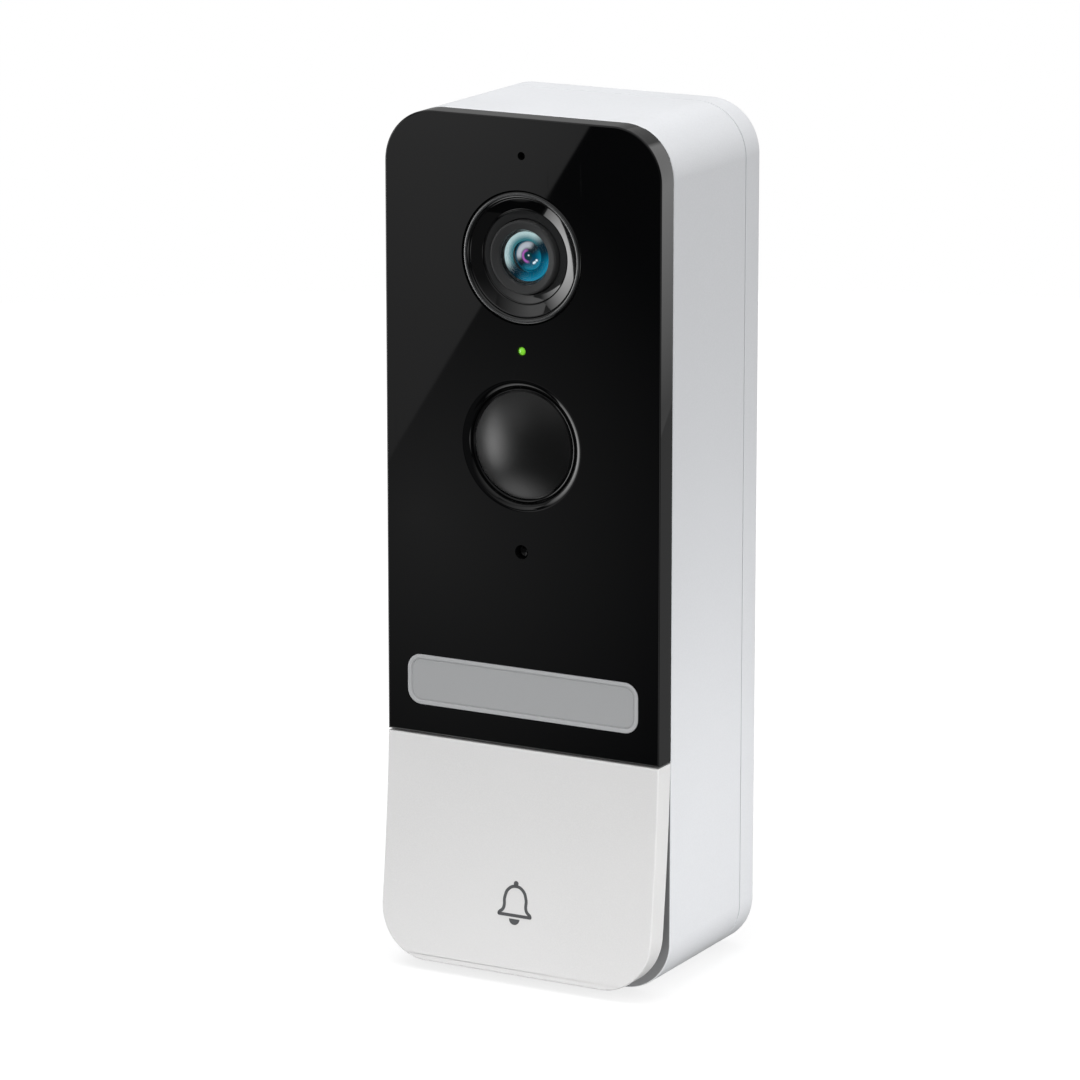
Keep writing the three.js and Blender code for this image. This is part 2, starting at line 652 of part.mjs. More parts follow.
function mainHousing() {
  const levels = [[HOUSING_FRONT, EDGE_BREAK], [HOUSING_FRONT + EDGE_BREAK, 0], [HOUSING_REAR, 0]];
  const outside = roundBlock(CASE_WIDTH, CASE_HEIGHT, CASE_CORNER, levels);
  const hollow = caseBlock(HOUSING_INSIDE, HOUSING_REAR + EPS, SHELL);
  const rebate = caseBlock(HOUSING_REAR - GASKET_REBATE, HOUSING_REAR + EPS, GASKET_INSET - SLIP);
  const columns = [];
  const pilots = [];
  for (const [x, z] of caseScrewPlaces()) {
    columns.push(rod(COLUMN_RADIUS, HOUSING_INSIDE - SLIP, HOUSING_REAR - EPS, x, z, 16));
    pilots.push(rod(SCREW_SHANK + SLIP, HOUSING_INSIDE + FRONT_WALL, HOUSING_REAR, x, z, 12));
  }
  const lugHeight = 2 * (PIVOT_RADIUS + EYE_WALL);
  const lugBack = PIVOT_Y + PIVOT_RADIUS + EYE_WALL;
  const lugs = SIDES.map((side) => {
    const x = side * (PIVOT_SPAN - LUG_WIDTH - EYE_WALL) / 2;
    return slab(LUG_WIDTH, lugHeight, HOUSING_INSIDE - SLIP, lugBack, x, PIVOT_Z);
  });
  const through = [HOUSING_FRONT - EPS, HOUSING_INSIDE + EPS];
  const windowBottom = SPLIT + WINDOW_LOW;
  const windowTop = TOP - WINDOW_HIGH;
  const slots = SIDES.map((side) => {
    const [width, height] = [ARM_WIDTH + 3 * CLEARANCE, ARM_HEIGHT + 4 * CLEARANCE];
    return slab(width, height, ...through, side * ARM_OFFSET, PIVOT_Z);
  });
  return cut(
    join(cut(outside, hollow, rebate), buttonLip(), ...columns, ...lugs),
    ...pilots,
    ...slots,
    ...grilleSlots(),
    slab(WINDOW_WIDTH, windowTop - windowBottom, ...through, 0, (windowTop + windowBottom) / 2),
    rod(PLUNGER_RADIUS + 3 * CLEARANCE, ...through, 0, SWITCH_Z),
    rod(MIC_SEAT + CLEARANCE, ...through, 0, MIC_Z),
    crossRod(PIVOT_RADIUS + RUNNING_FIT, PIVOT_SPAN + 2 * EYE_WALL, PIVOT_Y, PIVOT_Z),
  );
}

// Centres of the four screws that hold the rear cover.
function caseScrewPlaces() {
  return SIDES.flatMap((sx) => SIDES.map((sz) => [sx * COLUMN_X, sz * COLUMN_Z]));
}

// The slots in the base that the speaker faces.
function grilleSlots() {
  const slots = [];
  for (let i = 0; i < GRILLE_SLOTS; i++) {
    const x = (i - (GRILLE_SLOTS - 1) / 2) * GRILLE_PITCH;
    const half = [GRILLE_SLOT_WIDTH / 2, GRILLE_SLOT_LENGTH / 2];
    const y = speakerY();
    slots.push(box(x - half[0], x + half[0], y - half[1], y + half[1], BASE - EPS, BASE + SHELL + EPS));
  }
  return slots;
}

function speakerY() {
  return (HOUSING_INSIDE + HOUSING_REAR) / 2;
}

function speaker() {
  const low = BASE + SHELL + SPEAKER_GASKET + 2 * SLIP;
  const basket = post(SPEAKER_RADIUS, low, low + SPEAKER_BASKET, 0, speakerY(), 32);
  const magnet = post(SPEAKER_MAGNET, low + SPEAKER_BASKET - SLIP, low + SPEAKER_HEIGHT, 0, speakerY(), 28);
  const cone = post(SPEAKER_RADIUS - SPEAKER_RIM, low - EPS, low + SPEAKER_CONE, 0, speakerY(), 32);
  return cut(join(basket, magnet), cone);
}

function speakerGasket() {
  const low = BASE + SHELL + SLIP;
  const high = low + SPEAKER_GASKET;
  const disc = post(SPEAKER_RADIUS, low, high, 0, speakerY(), 32);
  return cut(disc, post(SPEAKER_RADIUS - SPEAKER_RIM, low - EPS, high + EPS, 0, speakerY(), 32));
}

function housingGasket() {
  const y0 = HOUSING_REAR - GASKET_REBATE + SLIP;
  const ring = caseBlock(y0, COVER_FRONT - SLIP / 2, GASKET_INSET);
  return cut(ring, caseBlock(y0 - EPS, COVER_FRONT + EPS, SHELL));
}

// ---- Inside ----

function mainBoard() {
  const width = CASE_WIDTH - 2 * SHELL - 2 * BOARD_SIDE;
  const low = SPLIT + BOARD_LOW;
  const high = COLUMN_Z - COLUMN_RADIUS - CLEARANCE;
  const levels = [[BOARD_FRONT, 0], [BOARD_BACK, 0]];
  const tongue = COLUMN_X - COLUMN_RADIUS - 1;
  return join(
    roundBlock(width, high - low, 2, levels, 0, (high + low) / 2, 3),
    box(-tongue, tongue, BOARD_FRONT, BOARD_BACK, high - 1, TOP - SHELL - BOARD_TONGUE_GAP),
  );
}

function batteryTray() {
  const front = cellY() - CELL_RADIUS - CLEARANCE;
  const half = CELL_SPACING / 2 + CELL_RADIUS + CLEARANCE;
  const low = CELL_LOW - CLEARANCE;
  const high = CELL_LOW + CELL_LENGTH + CLEARANCE;
  const wall = TRAY_WALL;
  const outside = box(-half - wall, half + wall, front - wall, cellY(), low - wall, high + wall);
  return cut(outside, box(-half, half, front, cellY() + EPS, low, high));
}

function cellY() {
  return COVER_FRONT - CLEARANCE - CELL_RADIUS;
}

// ---- Rear cover and what it carries ----

function rearCover() {
  const shoulder = REAR_ROUND * (1 - Math.SQRT1_2);
  const levels = [[COVER_FRONT, 0], [REAR - REAR_ROUND, 0], [REAR - shoulder, shoulder], [REAR, REAR_ROUND]];
  const outside = roundBlock(CASE_WIDTH, CASE_HEIGHT, CASE_CORNER, levels);
  const recessLevels = [[RECESS_FLOOR, 0], [REAR + EPS, 0]];
  const recess = roundBlock(RECESS_WIDTH, RECESS_HEIGHT, RECESS_CORNER, recessLevels);
  const through = [COVER_FRONT - EPS, RECESS_FLOOR + EPS];
  const screwHoles = caseScrewPlaces().map(([x, z]) => rod(SCREW_SHANK + SCREW_PLAY, ...through, x, z, 12));
  const recessTop = RECESS_HEIGHT / 2;
  const hookPockets = SIDES.map((side) => {
    const half = HOOK_WIDTH / 2 + BRACKET_CLEARANCE;
    const x = side * HOOK_OFFSET;
    const high = recessTop + HOOK_REACH + BRACKET_CLEARANCE;
    return box(x - half, x + half, RECESS_FLOOR, hookBack() + BRACKET_CLEARANCE, recessTop - EPS, high);
  });
  return cut(
    outside,
    recess,
    ...screwHoles,
    ...hookPockets,
    slab(TERMINAL_WIDTH + 2 * CLEARANCE, TERMINAL_HEIGHT + 2 * CLEARANCE, ...through, 0, TERMINAL_Z),
    slab(USB_WIDTH + 3 * CLEARANCE, USB_HEIGHT + 3 * CLEARANCE, ...through, 0, USB_Z),
    rod(RESET_RADIUS + SCREW_PLAY, ...through, RESET_OFFSET, USB_Z),
    post(SCREW_SHANK + SCREW_PLAY, BASE - EPS, -recessTop + EPS, 0, SECURITY_Y, 12),
    post(SCREW_HEAD + SCREW_PLAY, BASE - EPS, BASE + SCREW_SINK + CLEARANCE, 0, SECURITY_Y, 20),
  );
}

function powerBoard() {
  const back = powerBoardBack() - SLIP;
  const middle = (TERMINAL_Z + USB_Z) / 2;
  return slab(POWER_BOARD_WIDTH, POWER_BOARD_HEIGHT, back - BOARD_THICKNESS, back, 0, middle);
}

function powerBoardBack() {
  return COVER_FRONT - POWER_BOARD_ROOM + SLIP;
}

function terminalBlock() {
  const back = RECESS_FLOOR - 2 * SLIP;
  const block = slab(TERMINAL_WIDTH, TERMINAL_HEIGHT, powerBoardBack(), back, 0, TERMINAL_Z);
  const wells = SIDES.map((side) => {
    const radius = TERMINAL_SCREW + CLEARANCE;
    return rod(radius, back - TERMINAL_WELL, back + EPS, (side * TERMINAL_SPACING) / 2, TERMINAL_Z);
  });
  return cut(block, ...wells);
}

function terminalScrew(side) {
  const x = (side * TERMINAL_SPACING) / 2;
  const floor = RECESS_FLOOR - TERMINAL_WELL - SLIP;
  const head = [floor, floor + HEAD_HEIGHT];
  const slot = slab(SCREW_DRIVE, 3 * TERMINAL_SCREW, head[1] - SCREW_DRIVE, head[1] + EPS, x, TERMINAL_Z);
  return cut(rod(TERMINAL_SCREW, ...head, x, TERMINAL_Z, 18), slot);
}

function usbSocket() {
  const front = powerBoardBack();
  const back = RECESS_FLOOR - FLAP_PLUG - SLIP;
  const radius = USB_HEIGHT / 2 - SLIP;
  const shell = roundBlock(USB_WIDTH, USB_HEIGHT, radius, [[front, 0], [back, 0]], 0, USB_Z, 5);
  const mouth = [[front + 2 * USB_WALL, USB_WALL], [back + EPS, USB_WALL]];
  const tongue = slab(TONGUE_WIDTH, TONGUE_HEIGHT, front + USB_WALL, back - USB_WALL, 0, USB_Z);
  return join(cut(shell, roundBlock(USB_WIDTH, USB_HEIGHT, radius, mouth, 0, USB_Z, 5)), tongue);
}

// The rubber flap over the socket, hinged along its upper edge.
function usbFlap() {
  const face = RECESS_FLOOR + SLIP;
  const back = face + FLAP_THICKNESS;
  const levels = [[face, 0], [back - EDGE_BREAK, 0], [back, EDGE_BREAK]];
  const plate = roundBlock(FLAP_WIDTH, FLAP_HEIGHT, FLAP_CORNER, levels, 0, USB_Z, 4);
  const plugFace = face - FLAP_PLUG;
  const plug = slab(USB_WIDTH - USB_WALL, USB_HEIGHT - USB_WALL, plugFace, face + SLIP, 0, USB_Z);
  return join(plate, plug);
}

function resetButton() {
  const low = COVER_FRONT - RESET_FLANGE_DEPTH - CLEARANCE;
  const stem = rod(RESET_RADIUS, low, RECESS_FLOOR - 2 * SLIP, RESET_OFFSET, USB_Z);
  return join(stem, rod(RESET_RADIUS + RESET_FLANGE, low, COVER_FRONT - CLEARANCE, RESET_OFFSET, USB_Z));
}

// ---- Fasteners ----

function caseScrew([x, z]) {
  const head = [RECESS_FLOOR + SLIP, RECESS_FLOOR + SLIP + HEAD_HEIGHT];
  const shank = rod(SCREW_SHANK, head[0] - CASE_SCREW_LENGTH, head[0] + SLIP, x, z, 12);
  const drive = [head[1] - SCREW_DRIVE, head[1] + EPS];
  return cut(
    join(rod(SCREW_HEAD, ...head, x, z, 16), shank),
    slab(2 * DRIVE_REACH, SCREW_DRIVE, ...drive, x, z),
    slab(SCREW_DRIVE, 2 * DRIVE_REACH, ...drive, x, z),
  );
}

function securityScrew() {
  const head = [BASE + CLEARANCE, BASE + SCREW_SINK];
  const tip = -RECESS_HEIGHT / 2 + TAB_HEIGHT + BRACKET_CLEARANCE;
  const shank = post(SCREW_SHANK, head[1] - SLIP, tip, 0, SECURITY_Y, 12);
  const socket = post(DRIVE_REACH, head[0] - EPS, head[0] + HEAD_HEIGHT, 0, SECURITY_Y, 6);
  return cut(join(post(SCREW_HEAD, ...head, 0, SECURITY_Y, 20), shank), socket);
}

// ---- Wall bracket ----

function hookBack() {
  return RECESS_FLOOR + BRACKET_CLEARANCE + HOOK_THICKNESS;
}

function wallBracket() {
  const width = RECESS_WIDTH - 2 * BRACKET_CLEARANCE;
  const height = RECESS_HEIGHT - 2 * BRACKET_CLEARANCE;
  const front = -BRACKET_THICKNESS;
  const plate = roundBlock(width, height, RECESS_CORNER - BRACKET_CLEARANCE, [[front, 0], [0, 0]]);
  const edge = height / 2;
  const tip = RECESS_HEIGHT / 2 + HOOK_REACH;
  const hookFront = hookBack() - HOOK_THICKNESS;
  const hooks = SIDES.flatMap((side) => {
    const x0 = side * HOOK_OFFSET - HOOK_WIDTH / 2;
    const x1 = x0 + HOOK_WIDTH;
    return [
      box(x0, x1, hookFront, front + SLIP, edge - HOOK_ROOT, edge - EPS),
      box(x0, x1, hookFront, hookBack(), edge - HOOK_ROOT, tip),
    ];
  });
  const half = TAB_WIDTH / 2;
  const tabFront = RECESS_FLOOR + CLEARANCE;
  const tab = box(-half, half, tabFront, front + SLIP, -edge, -edge + TAB_HEIGHT);
  const notch = box(
    -SCREW_SLOT / 2,
    SCREW_SLOT / 2,
    RECESS_FLOOR - EPS,
    SECURITY_Y + SCREW_SLOT / 2,
    -edge - EPS,
    -edge + TAB_HEIGHT + BRACKET_CLEARANCE + EPS,
  );
  const through = [[front - EPS, 0], [EPS, 0]];
  const windowZ = BRACKET_WINDOW_TOP - BRACKET_WINDOW_HEIGHT / 2;
  const [across, high] = [BRACKET_WINDOW_WIDTH, BRACKET_WINDOW_HEIGHT];
  const opening = roundBlock(across, high, BRACKET_WINDOW_CORNER, through, 0, windowZ, 4);
  const screwHoles = SIDES.map((side) => countersunkHole(side * BRACKET_HOLE_RISE));
  return cut(join(plate, ...hooks, tab), notch, opening, ...screwHoles);
}

// The cutter for a wall screw's hole, widening towards the front.
function countersunkHole(z) {
  const front = -BRACKET_THICKNESS;
  const wide = BRACKET_HOLE_RADIUS + BRACKET_THICKNESS - COUNTERSINK_LAND;
  return turned(
    [
      [0, front - EPS],
      [wide, front - EPS],
      [wide, front],
      [BRACKET_HOLE_RADIUS, -COUNTERSINK_LAND],
      [BRACKET_HOLE_RADIUS, EPS],
      [0, EPS],
    ],
    z,
    24,
  );
}

// ---- The whole doorbell ----

const doorbell = new THREE.Group();

function place(name, body, finish) {
  const mesh = new THREE.Mesh(geometryOf(body), new THREE.MeshStandardMaterial(FINISHES[finish]));
  mesh.name = name;
  doorbell.add(mesh);
}

// A round or a square component standing on the main board's front.
function onBoardRod(radius, height, x, z) {
  return rod(radius, BOARD_FRONT - SLIP - height, BOARD_FRONT - SLIP, x, z);
}

function onBoardChip(width, height, thickness, z) {
  return slab(width, height, BOARD_FRONT - SLIP - thickness, BOARD_FRONT - SLIP, 0, z);
}

// A component on the main board's back.
function behindBoard(width, height, thickness, x, z) {
  return slab(width, height, BOARD_BACK + SLIP, BOARD_BACK + SLIP + thickness, x, z);
}

function statusLightPipe() {
  const back = BOARD_FRONT - 2 * SLIP - STATUS_LED_HEIGHT;
  return rod(STATUS_RADIUS, GLASS + SLIP, back, 0, STATUS_Z, 12);
}

function lightSensorLens() {
  const radius = LIGHT_SENSOR_HOLE - SLIP;
  return rod(radius, GLASS + PANEL_FACE / 2, CARRIER_BACK, 0, LIGHT_SENSOR_Z, 16);
}

function lightBarBoard() {
  const [width, height] = [LIGHT_BAR_WIDTH - 3 * LIGHT_BAR_LEDGE, LIGHT_BAR_HEIGHT - 2 * LIGHT_BAR_LEDGE];
  const front = CARRIER_BACK + 2 * SLIP;
  return slab(width, height, front, HOUSING_FRONT - 2 * SLIP, 0, LIGHT_BAR_Z);
}

function lightLed(i) {
  const x = (i - (LIGHT_BAR_LEDS - 1) / 2) * LED_PITCH;
  const back = CARRIER_BACK + SLIP;
  return slab(LED_SIZE, LED_SIZE, back - LED_HEIGHT, back, x, LIGHT_BAR_Z);
}

function buttonBumper(side) {
  const reach = [HOUSING_FRONT - BUMPER_HEIGHT, HOUSING_FRONT - SLIP];
  return rod(BUMPER_RADIUS, ...reach, side * BUMPER_OFFSET, BUMPER_Z, 16);
}

function batteryCell(side) {
  return post(CELL_RADIUS, CELL_LOW, CELL_LOW + CELL_LENGTH, (side * CELL_SPACING) / 2, cellY(), 28);
}

place("front_panel", frontPanel(), "blackGloss");
place("sensor_carrier", sensorCarrier(), "blackMatte");
place("camera_bezel", cameraBezel(), "blackGloss");
place("lens_barrel", lensBarrel(), "blackMatte");
place("front_lens", frontLens(), "lensGlass");
place("rear_lens", rearLens(), "lensGlass");
place("camera_module", cameraModule(), "blackMatte");
place("pir_dome", pirDome(), "blackGloss");
place("pir_sensor", pirSensor(), "steel");
place("status_light_pipe", statusLightPipe(), "greenLens");
place("status_led", onBoardChip(2, 1.6, STATUS_LED_HEIGHT, STATUS_Z), "yellowLed");
place("microphone_gasket", microphoneGasket(), "blackRubber");
place("microphone", onBoardRod(MIC_RADIUS, MIC_HEIGHT, 0, MIC_Z), "steel");
place("light_sensor_lens", lightSensorLens(), "blackGloss");
place("light_sensor", onBoardChip(2.2, 2.2, SENSOR_CHIP_HEIGHT, LIGHT_SENSOR_Z), "blackMatte");
place("light_bar_diffuser", lightBarDiffuser(), "greyDiffuser");
place("light_bar_board", lightBarBoard(), "greenBoard");
for (let i = 0; i < LIGHT_BAR_LEDS; i++) {
  place(`light_led_${i + 1}`, lightLed(i), "yellowLed");
}
place("main_board", mainBoard(), "greenBoard");
place("wifi_shield", behindBoard(14, 18, 2, 9, SPLIT + 22), "steel");
place("wifi_antenna", behindBoard(9, 3, 1, -13, SPLIT + 10), "brass");
place("call_button", callButton(), "whiteButton");
place("button_pivot_rod", crossRod(PIVOT_RADIUS, PIVOT_SPAN, PIVOT_Y, PIVOT_Z), "steel");
place("button_bumper_left", buttonBumper(-1), "greyRubber");
place("button_bumper_right", buttonBumper(1), "greyRubber");
place("switch_plunger", switchPlunger(), "blackMatte");
place("tact_switch", tactSwitch(), "steel");
place("switch_board", switchBoard(), "greenBoard");
place("main_housing", mainHousing(), "whiteShell");
place("housing_gasket", housingGasket(), "greyRubber");
place("speaker", speaker(), "blackMatte");
place("speaker_gasket", speakerGasket(), "blackRubber");
place("battery_tray", batteryTray(), "blackMatte");
place("battery_cell_left", batteryCell(-1), "blueWrap");
place("battery_cell_right", batteryCell(1), "blueWrap");
place("rear_cover", rearCover(), "whiteShell");
caseScrewPlaces().forEach((spot, i) => place(`case_screw_${i + 1}`, caseScrew(spot), "steel"));
place("power_board", powerBoard(), "greenBoard");
place("terminal_block", terminalBlock(), "blackMatte");
place("terminal_screw_left", terminalScrew(-1), "brass");
place("terminal_screw_right", terminalScrew(1), "brass");
place("usb_socket", usbSocket(), "steel");
place("usb_flap", usbFlap(), "greyRubber");
place("reset_button", resetButton(), "blackMatte");
place("security_screw", securityScrew(), "steel");
place("wall_bracket", wallBracket(), "whiteShell");

export default doorbell;
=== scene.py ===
"""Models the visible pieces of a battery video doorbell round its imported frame."""
import math

import bmesh
import bpy
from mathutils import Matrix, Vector


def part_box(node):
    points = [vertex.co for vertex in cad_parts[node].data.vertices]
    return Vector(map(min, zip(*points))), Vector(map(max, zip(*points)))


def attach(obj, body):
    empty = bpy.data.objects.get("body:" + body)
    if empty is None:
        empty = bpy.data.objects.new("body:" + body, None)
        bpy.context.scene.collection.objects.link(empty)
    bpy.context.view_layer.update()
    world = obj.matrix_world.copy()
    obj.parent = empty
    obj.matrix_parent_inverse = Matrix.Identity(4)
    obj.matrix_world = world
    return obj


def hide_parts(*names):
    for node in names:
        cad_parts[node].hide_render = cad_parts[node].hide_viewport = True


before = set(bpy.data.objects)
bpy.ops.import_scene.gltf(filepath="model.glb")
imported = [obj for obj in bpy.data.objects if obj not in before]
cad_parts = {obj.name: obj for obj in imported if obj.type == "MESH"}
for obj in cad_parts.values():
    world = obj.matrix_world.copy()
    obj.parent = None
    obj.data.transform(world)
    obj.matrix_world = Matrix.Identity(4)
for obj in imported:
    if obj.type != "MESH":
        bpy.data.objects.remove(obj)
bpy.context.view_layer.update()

bl_info = {
    "name": "Video Doorbell Builder",
    "version": (1, 0, 0),
    "blender": (4, 5, 0),
    "location": "View3D > Sidebar > Doorbell",
    "description": "Models the visible pieces of a battery video doorbell round its packed frame",
    "category": "Object",
}

MM = 0.001
TINY = 0.01 * MM
PAST = 1 * MM  # how far a cutter runs past what it cuts
CORNER_STEPS = 24
ROUND_SIDES = 96
HOLE_SIDES = 32
SIDES = (-1, 1)
QUARTER = math.pi / 2
ALONG = ((0, QUARTER, 0), (QUARTER, 0, 0), (0, 0, 0))  # turns +Z along each axis

# Planes and sizes of the case, from the frame.
CASE_LOW, CASE_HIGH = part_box("main_housing")
PANEL_LOW, PANEL_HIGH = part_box("front_panel")
BUTTON_LOW, BUTTON_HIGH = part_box("call_button")
COVER_LOW, COVER_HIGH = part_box("rear_cover")
BRACKET_LOW, BRACKET_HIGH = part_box("wall_bracket")
HALF = CASE_HIGH.x
TOP = CASE_HIGH.z
BASE = CASE_LOW.z
SPLIT = PANEL_LOW.z
GLASS = PANEL_LOW.y
HOUSING_FRONT = PANEL_HIGH.y + 0.1 * MM
HOUSING_REAR = CASE_HIGH.y
REAR = COVER_HIGH.y
CASE_CORNER = 9.2 * MM

# Walls.
SHELL = 2.2 * MM
FRONT_WALL = 2 * MM
SKIRT = 1.6 * MM
REAR_ROUND = 0.25 * MM  # rounding of the panel's edge that meets the housing
FACE = 1.8 * MM
FIT = 0.1 * MM
REBATE = 0.9 * MM
REBATE_INSET = 0.7 * MM

# The call button's leaning front.
BUTTON_THICKNESS = 4.4 * MM
LEAN = 3.7 * MM
LEAN_POWER = 1.45
LEAN_DROP = BUTTON_HIGH.z - BUTTON_LOW.z + 0.35 * MM
LEAN_ROWS = 40
LIP_GAP = 1.5 * MM
LIP_INSET = SKIRT + 0.6 * MM
LIP_WALL = 1.4 * MM
ARM_PLACE = 14 * MM

# The rear cover's recess for the wall bracket.
RECESS_FLOOR = REAR - 4 * MM
RECESS_SIDE = 3 * MM
RECESS_END = 5.5 * MM
BRACKET_CLEARANCE = 0.6 * MM
BRACKET_PLATE = 2.4 * MM
HOOK_PLACE = 10 * MM


# ---- What a user would change ----


class DoorbellSizes(bpy.types.PropertyGroup):
    edge_round: bpy.props.FloatProperty(
        name="Edge rounding",
        description="Radius of the outer edges of the panel, the button and the housing",
        default=0.3 * MM,
        unit="LENGTH",
    )
    rear_round: bpy.props.FloatProperty(
        name="Rear rounding",
        description="Radius of the rear cover's outer edge",
        default=0.9 * MM,
        unit="LENGTH",
    )
    bell_height: bpy.props.FloatProperty(
        name="Bell height",
        description="Height of the printed bell from knob to clapper",
        default=8.1 * MM,
        unit="LENGTH",
    )
    bell_stroke: bpy.props.FloatProperty(
        name="Bell stroke",
        description="Width of the printed bell's line",
        default=0.55 * MM,
        unit="LENGTH",
    )
    lit_ring: bpy.props.FloatProperty(
        name="Light bar rim",
        description="Width of the light bar's raised rim",
        default=0.65 * MM,
        unit="LENGTH",
    )


class DoorbellColours(bpy.types.PropertyGroup):
    shell: bpy.props.FloatVectorProperty(
        name="Shell",
        description="Moulded housing, rear cover and bracket",
        default=(0.75, 0.76, 0.78),
        subtype="COLOR",
        size=3,
    )
    button: bpy.props.FloatVectorProperty(
        name="Button",
        description="Call button, slightly warmer than the shell",
        default=(0.75, 0.745, 0.74),
        subtype="COLOR",
        size=3,
    )
    gloss: bpy.props.FloatVectorProperty(
        name="Window",
        description="Polished black front window and trim",
        default=(0.0025, 0.0026, 0.0028),
        subtype="COLOR",
        size=3,
    )
    light_bar: bpy.props.FloatVectorProperty(
        name="Light bar",
        description="Frosted diffuser, unlit",
        default=(0.38, 0.385, 0.39),
        subtype="COLOR",
        size=3,
    )
    bell: bpy.props.FloatVectorProperty(
        name="Bell",
        description="Ink of the printed bell",
        default=(0.075, 0.077, 0.08),
        subtype="COLOR",
        size=3,
    )
    status: bpy.props.FloatVectorProperty(
        name="Status light",
        description="Lit status light",
        default=(0.2, 0.62, 0.03),
        subtype="COLOR",
        size=3,
    )


# ---- Selecting and shaping ----


def object_mode():
    if bpy.context.mode != "OBJECT":
        bpy.ops.object.mode_set(mode="OBJECT")


def only(piece):
    """Makes one piece active and the only thing selected."""
    object_mode()
    bpy.ops.object.select_all(action="DESELECT")
    piece.select_set(True)
    bpy.context.view_layer.objects.active = piece


def started(name):
    """Names the new primitive and puts its place into its mesh."""
    piece = bpy.context.active_object
    piece.name = name
    piece.data.name = name
    only(piece)
    bpy.ops.object.transform_apply(location=True, rotation=True, scale=True)
    return piece


def pick(piece, kind, test):
    """Selects, in edit mode, the vertices, edges or faces that pass a test."""
    only(piece)
    bpy.ops.object.mode_set(mode="EDIT")
    bpy.ops.mesh.select_mode(type=kind)
    bpy.ops.mesh.select_all(action="DESELECT")
    mesh = bmesh.from_edit_mesh(piece.data)
    parts = {"VERT": mesh.verts, "EDGE": mesh.edges, "FACE": mesh.faces}[kind]
    for part in [part for part in parts if test(part)]:
        part.select_set(True)
    mesh.select_flush_mode()
    bmesh.update_edit_mesh(piece.data)


def everything(_):
    return True


def middle_of(edge):
    return (edge.verts[0].co + edge.verts[1].co) / 2


def runs_along(edge, axis):
    """Whether an edge runs along one axis."""
    along = edge.verts[1].co - edge.verts[0].co
    return abs(along[axis]) > 0.999 * along.length


def block(name, low, high):
    """A box between two corners, to shape further."""
    object_mode()
    low, high = Vector(low), Vector(high)
    bpy.ops.mesh.primitive_cube_add(size=1, location=(low + high) / 2, scale=high - low)
    return started(name)


def round_edges(piece, radius, test, steps=CORNER_STEPS):
    pick(piece, "EDGE", test)
    bpy.ops.mesh.bevel(
        offset=radius, offset_type="OFFSET", segments=steps, profile=0.5, affect="EDGES"
    )
    object_mode()


def rounded_block(name, low, high, radius, corners=everything, axis=1, steps=CORNER_STEPS):
    """A box with round corners, seen along one axis."""
    piece = block(name, low, high)
    round_edges(
        piece, radius, lambda e: runs_along(e, axis) and corners(middle_of(e)), steps
    )
    return piece


def case_block(name, front, rear, inset=0.0):
    """The whole case's outline between two depths, inset all round."""
    half, top, base = HALF - inset, TOP - inset, BASE + inset
    return rounded_block(
        name, (-half, front, base), (half, rear, top), CASE_CORNER - inset
    )


def rod(name, centre, radius, start, end, axis=1, sides=HOLE_SIDES):
    """A round bar along one axis, between two places on it."""
    place = Vector(centre)
    place[axis] = (start + end) / 2
    object_mode()
    bpy.ops.mesh.primitive_cylinder_add(
        vertices=sides,
        radius=radius,
        depth=end - start,
        location=place,
        rotation=ALONG[axis],
    )
    return started(name)


def turned(name, centre, profile, sides=ROUND_SIDES, axis=1):
    """Draws a ring out along a profile of (radius, place) points, closed at a zero radius."""
    radius, place = profile[0]
    at = Vector(centre)
    at[axis] = place
    object_mode()
    bpy.ops.mesh.primitive_circle_add(
        vertices=sides, radius=radius, location=at, rotation=ALONG[axis]
    )
    piece = started(name)
    pick(piece, "EDGE", everything)
    for next_radius, next_place in profile[1:]:
        shift = Vector((0, 0, 0))
        shift[axis] = next_place - place
        at += shift
        bpy.ops.mesh.extrude_region_move(TRANSFORM_OT_translate={"value": shift})
        if next_radius == 0:
            bpy.ops.mesh.merge(type="CENTER")
            break
        if abs(next_radius - radius) > 1e-9:
            scale = [next_radius / radius] * 3
            scale[axis] = 1
            bpy.ops.transform.resize(value=scale, center_override=at)
        radius, place = next_radius, next_place
    close_up(piece)
    return piece


def close_up(piece):
    """Merges what meets, fills what is open and turns every face outwards."""
    pick(piece, "VERT", everything)
    bpy.ops.mesh.remove_doubles(threshold=TINY / 4)
    pick(piece, "EDGE", lambda edge: edge.is_boundary)
    bpy.ops.mesh.fill_holes(sides=0)
    pick(piece, "FACE", everything)
    bpy.ops.mesh.normals_make_consistent(inside=False)
    object_mode()


def near(radius, place, *offsets):
    """Profile points given in millimetres from one radius and place."""
    return [(radius + out * MM, place + back * MM) for out, back in offsets]


def cap(radius, rim, crown, steps):
    """Profile points along a spherical cap from its rim to its crown."""
    rise = abs(rim - crown)
    way = 1 if crown < rim else -1
    sphere = (radius * radius + rise * rise) / (2 * rise)
    spread = math.asin(radius / sphere)
    points = []
    for i in range(steps, 0, -1):
        angle = spread * i / steps
        drop = sphere * (1 - math.cos(angle))
        points.append((sphere * math.sin(angle), crown + way * drop))
    return points + [(0, crown)]


def modify(piece, kind, **settings):
    """Adds a modifier with its settings and applies it."""
    only(piece)
    bpy.ops.object.modifier_add(type=kind)
    change = piece.modifiers[-1]
    for key, value in settings.items():
        setattr(change, key, value)
    bpy.ops.object.modifier_apply(modifier=change.name)


def combine(piece, tool, operation):
    modify(piece, "BOOLEAN", operation=operation, object=tool, solver="EXACT")
    bpy.data.objects.remove(tool)


def carve(piece, *tools):
    for tool in tools:
        combine(piece, tool, "DIFFERENCE")
    return piece


